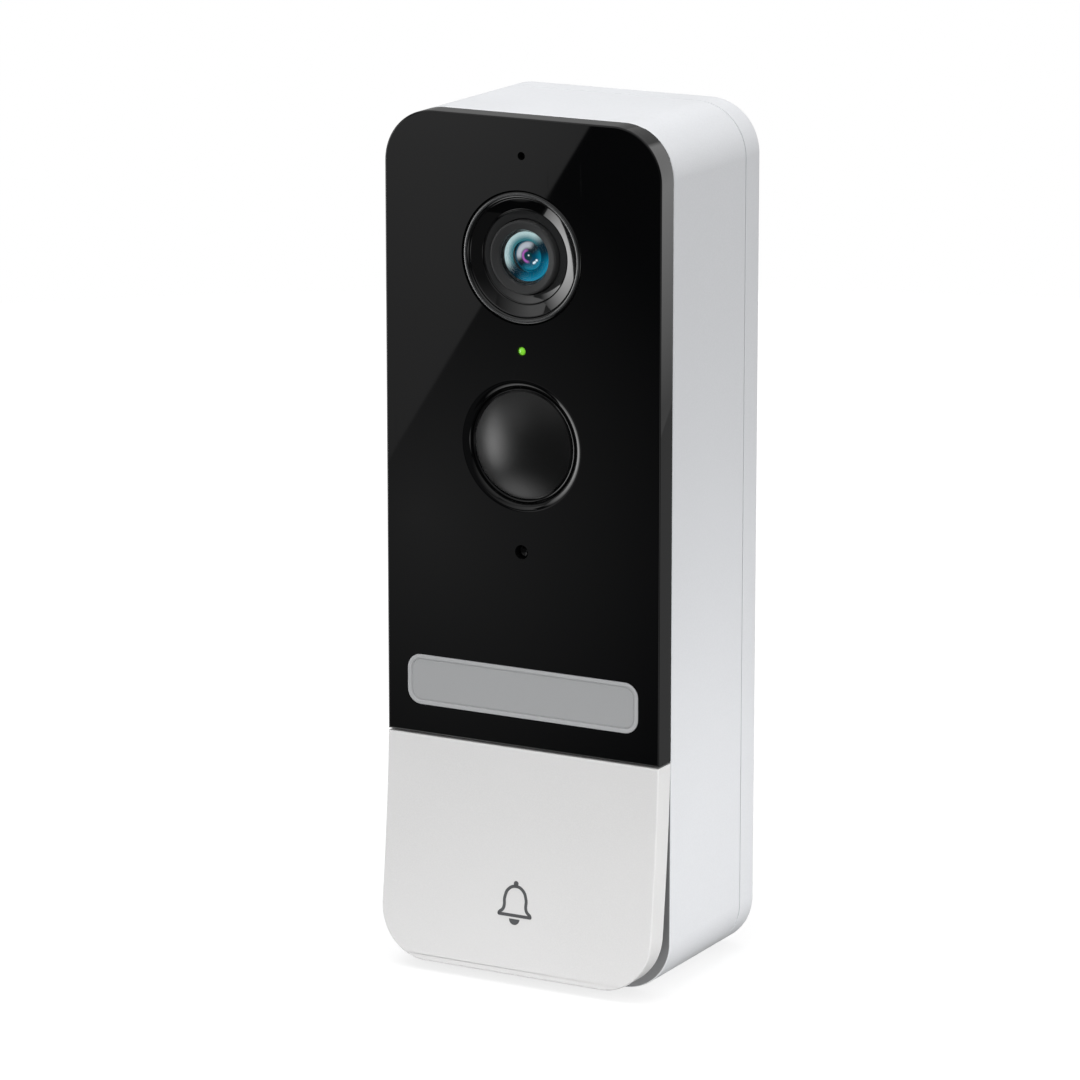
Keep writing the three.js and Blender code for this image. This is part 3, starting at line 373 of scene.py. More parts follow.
def fuse(piece, *parts):
    for part in parts:
        combine(piece, part, "UNION")
    return piece


def sink(piece, inset, depth, where=everything):
    """Pushes faces that look back forward, leaving a wall round them."""
    pick(piece, "FACE", lambda face: face.normal.y > 0.7 and where(face.calc_center_median()))
    bpy.ops.mesh.inset(thickness=inset, depth=0, use_even_offset=True)
    bpy.ops.mesh.extrude_region_move(TRANSFORM_OT_translate={"value": (0, -depth, 0)})
    object_mode()


def hollow(piece, inset, depth):
    """Sinks the face at the back."""
    back = max(vertex.co.y for vertex in piece.data.vertices)
    sink(piece, inset, depth, lambda place: place.y > back - depth)


def soften(piece, width, steps=2, limit=35):
    """Rounds every sharp edge and keeps the flat faces' shading flat."""
    sharp = math.radians(limit)
    modify(
        piece, "BEVEL", width=width, segments=steps, limit_method="ANGLE", angle_limit=sharp
    )
    flatten(piece)


def smooth(piece, angle=50):
    only(piece)
    bpy.ops.object.shade_smooth_by_angle(angle=math.radians(angle))


def flatten(piece):
    """Shades round faces smoothly and lets large flat faces stay flat."""
    smooth(piece)
    modify(piece, "WEIGHTED_NORMAL", keep_sharp=True, weight=100)


def radius_of(node):
    low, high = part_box(node)
    return (high.x - low.x) / 2


def middle(node):
    low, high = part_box(node)
    return (low + high) / 2


def finish(piece, body, slot, *nodes, look=None):
    """Gives a piece its look and its body, and lets it stand for its CAD nodes."""
    object_mode()
    piece.data.materials.clear()
    piece.data.materials.append(material(look or slot))
    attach(piece, body)
    if nodes:
        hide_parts(*nodes)
    return piece


# ---- Effects that several materials use ----


def new_group(name, inputs, outputs):
    group = bpy.data.node_groups.new(name, "ShaderNodeTree")
    for label, value in inputs.items():
        socket = group.interface.new_socket(
            label, in_out="INPUT", socket_type="NodeSocketFloat"
        )
        socket.default_value = value
    for label, kind in outputs.items():
        group.interface.new_socket(label, in_out="OUTPUT", socket_type=kind)
    return group, group.nodes.new("NodeGroupInput"), group.nodes.new("NodeGroupOutput")


def node(tree, kind, sockets=None, **settings):
    """Adds a node, with its settings, and its sockets' values or links."""
    made = tree.nodes.new(kind)
    for key, value in settings.items():
        setattr(made, key, value)
    for key, value in (sockets or {}).items():
        if isinstance(value, bpy.types.NodeSocket):
            tree.links.new(value, made.inputs[key])
        else:
            made.inputs[key].default_value = value
    return made


def maths(tree, operation, first, second=0.5, clamp=False):
    return node(
        tree, "ShaderNodeMath", {0: first, 1: second}, operation=operation, use_clamp=clamp
    ).outputs[0]


def vector(tree, operation, first, second=(0, 0, 0)):
    """One step of vector arithmetic."""
    made = node(tree, "ShaderNodeVectorMath", {0: first, 1: second}, operation=operation)
    single = operation in ("LENGTH", "DISTANCE", "DOT_PRODUCT")
    return made.outputs["Value" if single else "Vector"]


def ranged(tree, value, low, high, new_low=0.0, new_high=1.0):
    return node(
        tree,
        "ShaderNodeMapRange",
        {1: low, 2: high, 3: new_low, 4: new_high, 0: value},
        interpolation_type="SMOOTHSTEP",
    ).outputs[0]


def object_place(tree):
    return node(tree, "ShaderNodeTexCoord").outputs["Object"]


def mapped(tree, **sockets):
    """Object coordinates, shifted, turned or scaled."""
    return node(tree, "ShaderNodeMapping", {"Vector": object_place(tree), **sockets}).outputs[0]


def noise(tree, place, scale, detail=2.0, rough=0.5):
    return node(
        tree,
        "ShaderNodeTexNoise",
        {"Vector": place, "Scale": scale, "Detail": detail, "Roughness": rough},
    ).outputs["Fac"]


def moulded_grain():
    """Fine spark-eroded texture of moulded plastic, with a broad mottle."""
    group, given, result = new_group(
        "moulded_grain",
        {"Grain Scale": 3600.0, "Mottle Scale": 55.0},
        {"Height": "NodeSocketFloat", "Mottle": "NodeSocketFloat", "Speck": "NodeSocketFloat"},
    )
    place = object_place(group)
    fine = noise(group, place, given.outputs["Grain Scale"], 3.0, 0.6)
    pits = node(
        group, "ShaderNodeTexVoronoi", {"Vector": place, "Scale": given.outputs["Grain Scale"]}
    ).outputs["Distance"]
    height = maths(group, "ADD", fine, maths(group, "MULTIPLY", pits, 0.45))
    group.links.new(height, result.inputs["Height"])
    mottle = noise(group, place, given.outputs["Mottle Scale"], 3.0)
    group.links.new(mottle, result.inputs["Mottle"])
    group.links.new(ranged(group, fine, 0.35, 0.68), result.inputs["Speck"])
    return group


def handling():
    """Faint smears and hair scratches that show in a gloss."""
    group, given, result = new_group(
        "handling",
        {"Smear Scale": 70.0, "Scratch Scale": 900.0},
        {"Smear": "NodeSocketFloat", "Scratch": "NodeSocketFloat"},
    )
    smears = noise(group, object_place(group), given.outputs["Smear Scale"], 4.0, 0.6)
    smear = ranged(group, smears, 0.4, 0.75)
    stretched = mapped(group, Rotation=(0.2, 0.5, 0.4), Scale=(1, 1, 0.04))
    lines = noise(group, stretched, given.outputs["Scratch Scale"], 2.0, 0.7)
    group.links.new(smear, result.inputs["Smear"])
    group.links.new(ranged(group, lines, 0.66, 0.74), result.inputs["Scratch"])
    return group


def settled_dust():
    """A light film of dust on what faces up."""
    group, given, result = new_group(
        "settled_dust", {"Dust Scale": 1500.0}, {"Mask": "NodeSocketFloat"}
    )
    up = node(
        group,
        "ShaderNodeSeparateXYZ",
        {0: node(group, "ShaderNodeNewGeometry").outputs["Normal"]},
    ).outputs["Z"]
    specks = ranged(
        group, noise(group, object_place(group), given.outputs["Dust Scale"], 3.0), 0.45, 0.8
    )
    facing = ranged(group, up, 0.4, 1.0)
    group.links.new(maths(group, "MULTIPLY", facing, specks, True), result.inputs["Mask"])
    return group


class Finish:
    """A material with its Principled shader and the effects it uses."""

    effects = {}

    def __init__(self, name, **plain):
        self.material = bpy.data.materials.new(name)
        self.material.use_nodes = True
        self.tree = self.material.node_tree
        self.shader = self.tree.nodes["Principled BSDF"]
        for key, value in plain.items():
            self.shader.inputs[key.replace("_", " ")].default_value = value

    def effect(self, maker, **values):
        """Places a shared effect, built the first time it is used."""
        if maker not in Finish.effects:
            Finish.effects[maker] = maker()
        made = self.tree.nodes.new("ShaderNodeGroup")
        made.node_tree = Finish.effects[maker]
        for key, value in values.items():
            made.inputs[key.replace("_", " ")].default_value = value
        return made.outputs

    def blend(self, mask, first, second):
        """Mixes two colours by a mask."""
        mixed = self.tree.nodes.new("ShaderNodeMix")
        mixed.data_type = "RGBA"
        for key, value in ((0, mask), (6, first), (7, second)):
            if isinstance(value, bpy.types.NodeSocket):
                self.tree.links.new(value, mixed.inputs[key])
            elif key:
                mixed.inputs[key].default_value = (*value[:3], 1)
            else:
                mixed.inputs[key].default_value = value
        return mixed.outputs[2]

    def feed(self, socket, value):
        self.tree.links.new(value, self.shader.inputs[socket])

    def bump(self, height, distance, strength=1.0):
        bump = node(
            self.tree,
            "ShaderNodeBump",
            {"Height": height, "Distance": distance, "Strength": strength},
        )
        self.feed("Normal", bump.outputs[0])


def shade(colour, factor):
    return tuple(channel * factor for channel in colour[:3])


def moulded(name, colour, rough, grain=3600.0, depth=0.012 * MM, speck=0.94, shine=0.5):
    """Grained moulded plastic with a mottled gloss and a little dust."""
    made = Finish(name, Specular_IOR_Level=shine)
    marks = made.effect(moulded_grain, Grain_Scale=grain)
    dust = made.effect(settled_dust)
    base = made.blend(marks["Speck"], shade(colour, speck), colour)
    base = made.blend(marks["Mottle"], base, shade(colour, 0.985))
    base = made.blend(
        maths(made.tree, "MULTIPLY", dust["Mask"], 0.12), base, (0.55, 0.54, 0.52)
    )
    made.feed("Base Color", base)
    made.feed("Roughness", ranged(made.tree, marks["Mottle"], 0.3, 0.7, rough - 0.03, rough + 0.04))
    made.bump(marks["Height"], depth)
    return made.material


def polished(name, colour, rough=0.012):
    """Polished black plastic behind a clear hard coat, with faint smears."""
    made = Finish(name, IOR=1.5, Coat_Roughness=0.02)
    marks = made.effect(handling)
    dust = made.effect(settled_dust)
    base = made.blend(maths(made.tree, "MULTIPLY", dust["Mask"], 0.03), colour, (0.4, 0.39, 0.37))
    made.feed("Base Color", base)
    smear = maths(made.tree, "MULTIPLY", marks["Smear"], 0.01)
    scratch = maths(made.tree, "MULTIPLY", marks["Scratch"], 0.05)
    made.feed("Roughness", maths(made.tree, "ADD", maths(made.tree, "ADD", smear, scratch), rough))
    return made.material


def rubber(name, colour):
    made = Finish(name, Specular_IOR_Level=0.3, Sheen_Weight=0.15, Sheen_Roughness=0.5)
    marks = made.effect(moulded_grain, Grain_Scale=2400.0, Mottle_Scale=120.0)
    made.feed("Base Color", made.blend(marks["Mottle"], shade(colour, 0.85), shade(colour, 1.15)))
    made.feed("Roughness", ranged(made.tree, marks["Mottle"], 0.3, 0.7, 0.72, 0.86))
    made.bump(marks["Height"], 0.02 * MM)
    return made.material


def metal(name, colour, rough, stretch=(1.0, 1.0, 0.03)):
    """Drawn or pressed metal with fine brushing and a little tarnish."""
    made = Finish(name, Metallic=1.0)
    brushed = noise(made.tree, mapped(made.tree, Scale=stretch), 5200.0, 3.0)
    tarnish = noise(made.tree, object_place(made.tree), 260.0, 4.0)
    made.feed("Base Color", made.blend(tarnish, shade(colour, 0.8), colour))
    made.feed("Roughness", ranged(made.tree, brushed, 0.3, 0.7, rough - 0.08, rough + 0.1))
    made.bump(brushed, 0.004 * MM)
    return made.material


def bar_rim_highlight_mask(made):
    """Where the light bar's raised rim is, by the distance in from its round-ended outline, for a
    painted highlight.
    """
    centre = (BAR_LOW + BAR_HIGH) / 2
    reach = (BAR_HIGH - BAR_LOW) / 2 - Vector((BAR_CORNER, 0, BAR_CORNER))
    tree = made.tree
    place = vector(tree, "SUBTRACT", object_place(tree), centre)
    past = vector(tree, "SUBTRACT", vector(tree, "ABSOLUTE", place), reach)
    past = vector(tree, "MULTIPLY", vector(tree, "MAXIMUM", past), (1, 0, 1))
    away = vector(tree, "LENGTH", past)
    return ranged(tree, away, BAR_CORNER - 0.75 * MM, BAR_CORNER - 0.6 * MM)


def frosted(name, colour):
    """Frosted diffuser: a soft body with a fine sandblasted face and a painted highlight on its
    raised rim.
    """
    made = Finish(name, IOR=1.49, Coat_Roughness=0.15)
    marks = made.effect(moulded_grain, Grain_Scale=5200.0, Mottle_Scale=80.0)
    base = made.blend(marks["Speck"], shade(colour, 0.975), colour)
    # The raised rim is painted lighter: a painted highlight.
    rim = bar_rim_highlight_mask(made)
    made.feed("Base Color", made.blend(rim, base, shade(colour, 1.11)))
    made.feed("Roughness", ranged(made.tree, marks["Mottle"], 0.3, 0.7, 0.44, 0.52))
    made.bump(marks["Height"], 0.006 * MM)
    return made.material


def printed(name, colour):
    """Screen-printed ink: matt, with a slightly uneven edge and film."""
    made = Finish(name)
    marks = made.effect(moulded_grain, Grain_Scale=4200.0, Mottle_Scale=300.0)
    made.feed("Base Color", made.blend(marks["Mottle"], shade(colour, 0.9), shade(colour, 1.1)))
    made.feed("Roughness", ranged(made.tree, marks["Speck"], 0, 1, 0.45, 0.58))
    made.bump(marks["Height"], 0.006 * MM)
    return made.material


def board(name):
    """Solder mask over a grid of traces and pads."""
    made = Finish(name, Coat_Weight=0.3, Coat_Roughness=0.2)
    place = mapped(made.tree, Rotation=(QUARTER, 0, 0))
    traces = node(
        made.tree,
        "ShaderNodeTexBrick",
        {"Vector": place, "Scale": 260.0, "Mortar Size": 0.06, "Mortar Smooth": 0.2},
    ).outputs["Fac"]
    pads = node(
        made.tree, "ShaderNodeTexVoronoi", {"Vector": place, "Scale": 480.0}
    ).outputs["Distance"]
    pad_mask = ranged(made.tree, pads, 0.16, 0.1)
    base = made.blend(traces, (0.008, 0.09, 0.035), (0.02, 0.17, 0.07))
    made.feed("Base Color", made.blend(pad_mask, base, (0.62, 0.55, 0.35)))
    made.feed("Roughness", ranged(made.tree, traces, 0, 1, 0.45, 0.32))
    made.feed("Metallic", pad_mask)
    made.bump(traces, 0.02 * MM)
    return made.material


def wrapped(name, colour):
    """Shrink-wrapped cell sleeve with fine creases towards its ends."""
    made = Finish(name, Coat_Weight=0.4, Coat_Roughness=0.15)
    creases = noise(made.tree, mapped(made.tree, Scale=(1, 1, 0.08)), 700.0, 3.0)
    made.feed("Base Color", made.blend(creases, shade(colour, 0.8), colour))
    made.feed("Roughness", ranged(made.tree, creases, 0.3, 0.7, 0.3, 0.42))
    made.bump(creases, 0.03 * MM)
    return made.material


def lamp_face(name, colour, glow):
    """A moulded light: clear-coated body with an even glow and a brighter core."""
    made = Finish(name, Roughness=0.25, Emission_Strength=glow, Coat_Weight=0.5)
    marks = made.effect(moulded_grain, Grain_Scale=1800.0, Mottle_Scale=600.0)
    glow_colour = made.blend(marks["Mottle"], shade(colour, 0.85), shade(colour, 1.15))
    made.feed("Base Color", glow_colour)
    made.feed("Emission Color", glow_colour)
    return made.material


def clear_glass(name):
    """Coated lens glass with a trace of cleaning smears."""
    made = Finish(name, Transmission_Weight=1.0, IOR=1.16, Base_Color=(0.9, 0.98, 1.0, 1))
    marks = made.effect(handling, Smear_Scale=400.0)
    made.feed("Roughness", maths(made.tree, "MULTIPLY", marks["Smear"], 0.015))
    return made.material


def lens_place(made, centre):
    """Place across a lens in millimetres from its axis, its length and its direction."""
    tree = made.tree
    shift = (-centre.x / MM, 0, -centre.z / MM)
    place = mapped(tree, Location=shift, Scale=(1 / MM, 0, 1 / MM))
    return place, vector(tree, "LENGTH", place), vector(tree, "NORMALIZE", place)


def towards(made, way, hour, low, high):
    """A soft sector of the lens centred on an hour of the clock face."""
    angle = math.radians(90 - 30 * hour)
    aim = vector(made.tree, "DOT_PRODUCT", way, (math.cos(angle), 0, math.sin(angle)))
    return ranged(made.tree, aim, low, high)


def band(made, away, low, high, soft=0.15):
    """A soft ring between two radii."""
    inside = ranged(made.tree, away, low - soft, low + soft)
    outside = ranged(made.tree, away, high + soft, high - soft)
    return maths(made.tree, "MULTIPLY", inside, outside)


def ringed_bezel(name, colour):
    """Polished black with a satin grey outer lip and a dark grey ring round the barrel."""
    made = Finish(name, IOR=1.5, Coat_Weight=0.6, Coat_Roughness=0.03)
    marks = made.effect(handling, Smear_Scale=200.0)
    _, away, _ = lens_place(made, CAMERA)
    r = CAMERA_RADIUS / MM
    lip = band(made, away, r - 0.82, r - 0.4, 0.08)
    inner = band(made, away, BARREL_RADIUS / MM, 7.9, 0.12)
    base = made.blend(lip, colour, (0.034, 0.035, 0.036))
    made.feed("Base Color", made.blend(inner, base, (0.026, 0.0265, 0.027)))
    rough = maths(made.tree, "ADD", maths(made.tree, "MULTIPLY", lip, 0.3), 0.05)
    smear = maths(made.tree, "MULTIPLY", marks["Smear"], 0.02)
    made.feed("Roughness", maths(made.tree, "ADD", rough, smear))
    return made.material


def satin_dome(name, colour):
    """Infrared lens plastic: a satin face inside a polished bead."""
    made = Finish(name, IOR=1.5, Specular_IOR_Level=0.5)
    marks = made.effect(moulded_grain, Grain_Scale=2600.0, Mottle_Scale=90.0)
    _, away, _ = lens_place(made, DOME)
    face = band(made, away, -1.0, DOME_RADIUS / MM - 0.75, 0.1)
    made.feed("Base Color", made.blend(face, colour, (0.004, 0.0041, 0.0042)))
    mottled = ranged(made.tree, marks["Mottle"], 0.3, 0.7, 0.34, 0.38)
    rough = maths(made.tree, "MULTIPLY", face, mottled)
    made.feed("Roughness", maths(made.tree, "MAXIMUM", rough, 0.04))
    return made.material


def painted_cup_reflections(name):
    """The lens's inner cup: multi-layer coating colours with painted reflections that glow, pale
    above, cyan to the lower right.
    """
    made = Finish(name, Roughness=0.2, Emission_Strength=0.75, Specular_IOR_Level=0.0)
    _, away, way = lens_place(made, CAMERA)
    streaks = noise(
        made.tree,
        node(made.tree, "ShaderNodeCombineXYZ", {0: away}).outputs[0],
        3.0,
        3.0,
    )
    dark = made.blend(streaks, (0.001, 0.006, 0.012), (0.004, 0.03, 0.05))
    blue = made.blend(ranged(made.tree, away, 2.6, 4.4), (0.0, 0.07, 0.13), (0.01, 0.26, 0.42))
    base = made.blend(towards(made, way, 4.7, 0.3, 0.9), dark, blue)
    # The pale crescent above is a painted reflection.
    pale = made.blend(ranged(made.tree, away, 2.7, 4.0), (0.03, 0.17, 0.2), (0.55, 0.68, 0.68))
    base = made.blend(towards(made, way, 10.6, -0.1, 0.55), base, pale)
    made.feed("Base Color", made.blend(0.8, base, (0, 0, 0)))
    # The emission makes the painted pattern glow: painted light, not a lamp.
    made.feed("Emission Color", base)
    return made.material


# Glints on the inner lens: place from its axis, solid and outer radius in millimetres, colour.
LENS_GLINTS = (
    (0.1, 0.12, 0.1, 0.2, (0.9, 0.95, 0.95)),
    (0.95, -1.1, 0.14, 0.24, (0.85, 0.95, 1.0)),
    (1.15, -0.95, 0.14, 0.24, (0.85, 0.95, 1.0)),
    (1.45, -0.62, 0.14, 0.24, (0.85, 0.95, 1.0)),
)


def inner_lens_painted_reflections(name):
    """The inner lens, painted with its reflections, which glow: pale to the upper left, white
    glints, a magenta bloom round a dark teal pupil.
    """
    made = Finish(
        name,
        Roughness=0.05,
        Coat_Weight=0.25,
        Coat_Roughness=0.02,
        Emission_Strength=0.7,
        Specular_IOR_Level=0.0,
    )
    place, away, way = lens_place(made, CAMERA)
    blue = made.blend(ranged(made.tree, away, 1.0, 2.4), (0.0, 0.05, 0.1), (0.005, 0.22, 0.34))
    base = made.blend(towards(made, way, 4.5, 0.0, 0.7), (0.002, 0.012, 0.02), blue)
    # A pale painted reflection to the upper left.
    upper = towards(made, way, 10.5, 0.2, 0.75)
    pale = maths(made.tree, "MULTIPLY", upper, band(made, away, 1.3, 2.3, 0.3))
    base = made.blend(pale, base, (0.55, 0.55, 0.6))
    base = made.blend(band(made, away, 2.35, 2.6, 0.08), base, (0.0, 0.07, 0.12))
    left = towards(made, way, 8.8, -0.3, 0.5)
    bloom = maths(made.tree, "MULTIPLY", left, band(made, away, 0.75, 1.15, 0.2))
    base = made.blend(bloom, base, (0.5, 0.12, 0.5))
    base = made.blend(ranged(made.tree, away, 0.85, 0.6), base, (0.002, 0.04, 0.05))
    # Painted glints.
    for x, z, low, high, colour in LENS_GLINTS:
        spot = vector(made.tree, "DISTANCE", place, (x, 0, z))
        base = made.blend(ranged(made.tree, spot, high, low), base, colour)
    made.feed("Base Color", made.blend(0.8, base, (0, 0, 0)))
    # The emission makes the painted pattern glow: painted light, not a lamp.
    made.feed("Emission Color", base)
    return made.material


MATERIALS = {}


def material(slot):
    """The finish of a slot, made when it is first asked for."""
    if slot not in MATERIALS:
        colours = bpy.context.scene.doorbell_colours
        MATERIALS.update(
            black_gloss=polished("polished_black", colours.gloss),
            black_matte=moulded("grained_black", (0.017, 0.017, 0.018), 0.42, 2600.0),
            white_shell=moulded("satin_white", colours.shell, 0.4),
            # Painted shade: a grey for the housing's front face and the lip in the wedge under the
            # button.
            grey_lip=moulded("painted_shade_grey", (0.26, 0.263, 0.267), 0.5),
            white_button=moulded("satin_warm_white", colours.button, 0.36, 4200.0, 0.006 * MM),
            grey_diffuser=frosted("frosted_grey", colours.light_bar),
            grey_rubber=rubber("grey_silicone", (0.15, 0.155, 0.16)),
            barrel_grey=moulded("anodised_grey", (0.03, 0.0305, 0.031), 0.5, 3000.0, shine=0.25),
            black_rubber=rubber("black_silicone", (0.02, 0.02, 0.02)),
            bezel_black=ringed_bezel("polished_bezel", colours.gloss),
            dome_black=satin_dome("satin_dome", colours.gloss),
            lens_glass=clear_glass("coated_glass"),
            inner_coating=inner_lens_painted_reflections("painted_inner_lens_reflections"),
            cup_coating=painted_cup_reflections("painted_cup_reflections"),
            green_lens=lamp_face("status_green", colours.status, 0.3),
            steel=metal("plated_steel", (0.62, 0.62, 0.63), 0.3),
            brass=metal("brass", (0.68, 0.48, 0.2), 0.32),
            circuit_board=board("solder_mask"),
            led_yellow=lamp_face("phosphor_yellow", (0.8, 0.66, 0.12), 0.0),
            battery_wrap=wrapped("cell_sleeve", (0.03, 0.13, 0.36)),
            bell_ink=printed("bell_ink", colours.bell),
        )
    return MATERIALS[slot]


# ---- Front panel and what it shows ----

CAMERA = middle("camera_bezel")
CAMERA_RADIUS = radius_of("camera_bezel")
BARREL_RADIUS = radius_of("lens_barrel")
LENS_RADIUS = radius_of("front_lens")
REAR_LENS_RADIUS = radius_of("rear_lens")
DOME = middle("pir_dome")
DOME_RADIUS = radius_of("pir_dome") - 1 * MM
STATUS = middle("status_light_pipe")
STATUS_RADIUS = radius_of("status_light_pipe")
MICROPHONE = middle("microphone")
MIC_HOLE = 0.7 * MM
EYE = middle("light_sensor_lens")
EYE_RADIUS = radius_of("light_sensor_lens")
BAR_LOW, BAR_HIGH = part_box("light_bar_diffuser")
BAR_CORNER = 2.6 * MM


def panel_edge(face_y):
    """A test for the edges round a piece's front."""
    return lambda edge: all(abs(vertex.co.y - face_y) < TINY for vertex in edge.verts)


def panel_rear_edge(edge):
    """Whether an edge goes round the outside of the panel's rear."""
    place = middle_of(edge)
    beside = abs(place.x) > HALF - SKIRT / 2
    above_or_below = place.z > TOP - SKIRT / 2 or place.z < SPLIT + SKIRT / 2
    return (beside or above_or_below) and panel_edge(PANEL_HIGH.y)(edge)


def leaning_rim(edge):
    """Whether an edge goes round the button's leaning front."""
    on_front = all(
        abs(vertex.co.y - GLASS + lean_at(vertex.co.z)) < 2 * TINY for vertex in edge.verts
    )
    return on_front and edge.calc_face_angle(0) > 1


def make_front_panel():
    sizes = bpy.context.scene.doorbell_sizes
    panel = rounded_block(
        "front_panel_window",
        (-HALF, GLASS, SPLIT),
        (HALF, PANEL_HIGH.y, TOP),
        CASE_CORNER,
        lambda place: place.z > 0,
    )
    hollow(panel, SKIRT, PANEL_HIGH.y - GLASS - FACE)
    round_edges(panel, sizes.edge_round, panel_edge(GLASS), 5)
    round_edges(panel, REAR_ROUND, panel_rear_edge, 3)
    through = (GLASS - PAST, GLASS + FACE + PAST)
    bar_low = (BAR_LOW.x - FIT, through[0], BAR_LOW.z - FIT)
    bar_high = (BAR_HIGH.x + FIT, through[1], BAR_HIGH.z + FIT)
    carve(
        panel,
        rod("camera_hole", CAMERA, CAMERA_RADIUS + FIT, *through, sides=ROUND_SIDES),
        dome_funnel(through),
        rod("mic_hole", MICROPHONE, MIC_HOLE, *through),
        rod("status_hole", STATUS, STATUS_RADIUS + FIT, *through),
        rod("eye_hole", EYE, EYE_RADIUS + FIT, *through, sides=48),
        rounded_block("bar_hole", bar_low, bar_high, BAR_CORNER + FIT, steps=12),
    )
    soften(panel, 0.09 * MM, 2)
    finish(panel, "doorbell", "black_gloss", "front_panel")


def dome_funnel(through):
    """The cutter for the dome's dished surround."""
    seat = DOME_RADIUS + FIT
    dish = 1.5 * MM
    sunk = 0.95 * MM
    steps = 10
    profile = [(seat, through[1]), (seat, GLASS + sunk)]
    for i in range(1, steps + 1):
        angle = QUARTER * i / steps
        profile.append(
            (seat + dish * (1 - math.cos(angle)), GLASS + sunk * (1 - math.sin(angle)))
        )
    widest = profile[-1][0]
    profile.append((widest, through[0]))
    return turned("funnel", DOME, profile)


def make_camera():
    bezel_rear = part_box("camera_bezel")[1].y
    floor = bezel_rear - 2.9 * MM
    r = CAMERA_RADIUS
    throat = 8.1 * MM
    opening = BARREL_RADIUS + FIT
    profile = [
        *near(opening, floor, (0, 0), (0.12, -0.3), (0.2, -0.34)),
        *near(throat, floor, (-0.2, -0.34), (0, -0.5)),
        *near(throat, GLASS, (0, 1.25), (0.06, 1.15), (0.2, 1.08)),
        *near(r, GLASS, (-1.42, 0.68), (-1.3, 0.6), (-1.22, 0.45), (-1.14, 0.22), (-1.0, 0.08)),
        *near(r, GLASS, (-0.82, -0.02), (-0.62, -0.06), (-0.42, -0.02), (-0.24, 0.08)),
        *near(r, GLASS, (-0.1, 0.24), (0, 0.45)),
        (r, bezel_rear),
        (opening, bezel_rear),
        (opening, floor),
    ]
    bezel = turned("camera_bezel_ring", CAMERA, profile, 128)
    smooth(bezel, 40)
    finish(bezel, "doorbell", "black_gloss", "camera_bezel", look="bezel_black")
    make_barrel()
    make_lenses()


def make_barrel():
    low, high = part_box("lens_barrel")
    r = BARREL_RADIUS
    lens = LENS_RADIUS + FIT
    rear = REAR_LENS_RADIUS + FIT
    pocket = low.y + 2 * MM
    floor = high.y - 1 * MM
    profile = [
        (rear, floor),
        *near(rear, pocket, (0, 0.25), (0.3, 0)),
        (lens, pocket),
        *near(lens, low.y, (0, 0.62), (0.12, 0.4), (0.3, 0.3)),
        *near(r, low.y, (-0.6, 0.1), (-0.42, 0), (-0.2, 0.03), (-0.05, 0.14), (0, 0.32)),
        (r, high.y),
        (rear, high.y),
    ]
    barrel = turned("lens_barrel_ring", CAMERA, profile + [(1 * MM, high.y), (0, high.y)])
    smooth(barrel, 40)
    finish(barrel, "doorbell", "black_matte", "lens_barrel", look="barrel_grey")


def make_lenses():
    low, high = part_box("front_lens")
    rim = high.y - 1.1 * MM
    r = LENS_RADIUS
    dish = cap(r - 0.5 * MM, high.y - 0.15 * MM, high.y - 0.75 * MM, 10)
    outer = cap(r, rim, low.y, 16)
    back = [(r, high.y), (r - 0.4 * MM, high.y)]
    front = turned("front_lens_glass", CAMERA, [*reversed(outer[:-1]), *back, *dish])
    smooth(front, 40)
    finish(front, "doorbell", "lens_glass", "front_lens")
    rear_low, rear_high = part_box("rear_lens")
    rear_rim = rear_low.y + 0.6 * MM
    crown = cap(REAR_LENS_RADIUS, rear_rim, rear_low.y, 12)
    rear = turned(
        "rear_lens_glass",
        CAMERA,
        [(REAR_LENS_RADIUS, rear_high.y), *crown],
        64,
    )
    smooth(rear, 40)
    finish(rear, "doorbell", "lens_glass", "rear_lens", look="inner_coating")
    # A thin ring behind the front lens that carries the painted reflections.
    hole = REAR_LENS_RADIUS - 0.15 * MM
    cup_profile = [
        *near(hole, high.y, (0, -0.03), (0, -0.1)),
        *near(r, high.y, (-0.45, -0.07), (-0.45, -0.03)),
        *near(hole, high.y, (0, -0.03)),
    ]
    cup = turned("lens_painted_reflection_ring", CAMERA, cup_profile)
    smooth(cup, 30)
    finish(cup, "doorbell", "lens_glass", look="cup_coating")


def make_dome():
    low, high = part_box("pir_dome")
    seat = high.y - 0.9 * MM
    rim = GLASS + 1 * MM
    r = DOME_RADIUS
    groove = r - 0.5 * MM
    wall = 1.2 * MM
    flange = radius_of("pir_dome")
    inner = cap(r - wall, rim + 0.1 * MM, low.y + wall, 12)
    outer = cap(groove - 0.12 * MM, rim - 0.35 * MM, low.y, 24)
    bead = [
        *near(r, rim, (0, -0.12), (-0.06, -0.3), (-0.18, -0.38), (-0.3, -0.36)),
        *near(groove, rim, (0.08, -0.26), (0, -0.16), (-0.08, -0.2)),
    ]
    base = [(r - wall, high.y), (flange, high.y), (flange, seat), (r, seat)]
    dome = turned("pir_dome_lens", DOME, [*inner[:-1][::-1], *base, *bead, *outer], 128)
    smooth(dome, 38)
    finish(dome, "doorbell", "black_gloss", "pir_dome", look="dome_black")


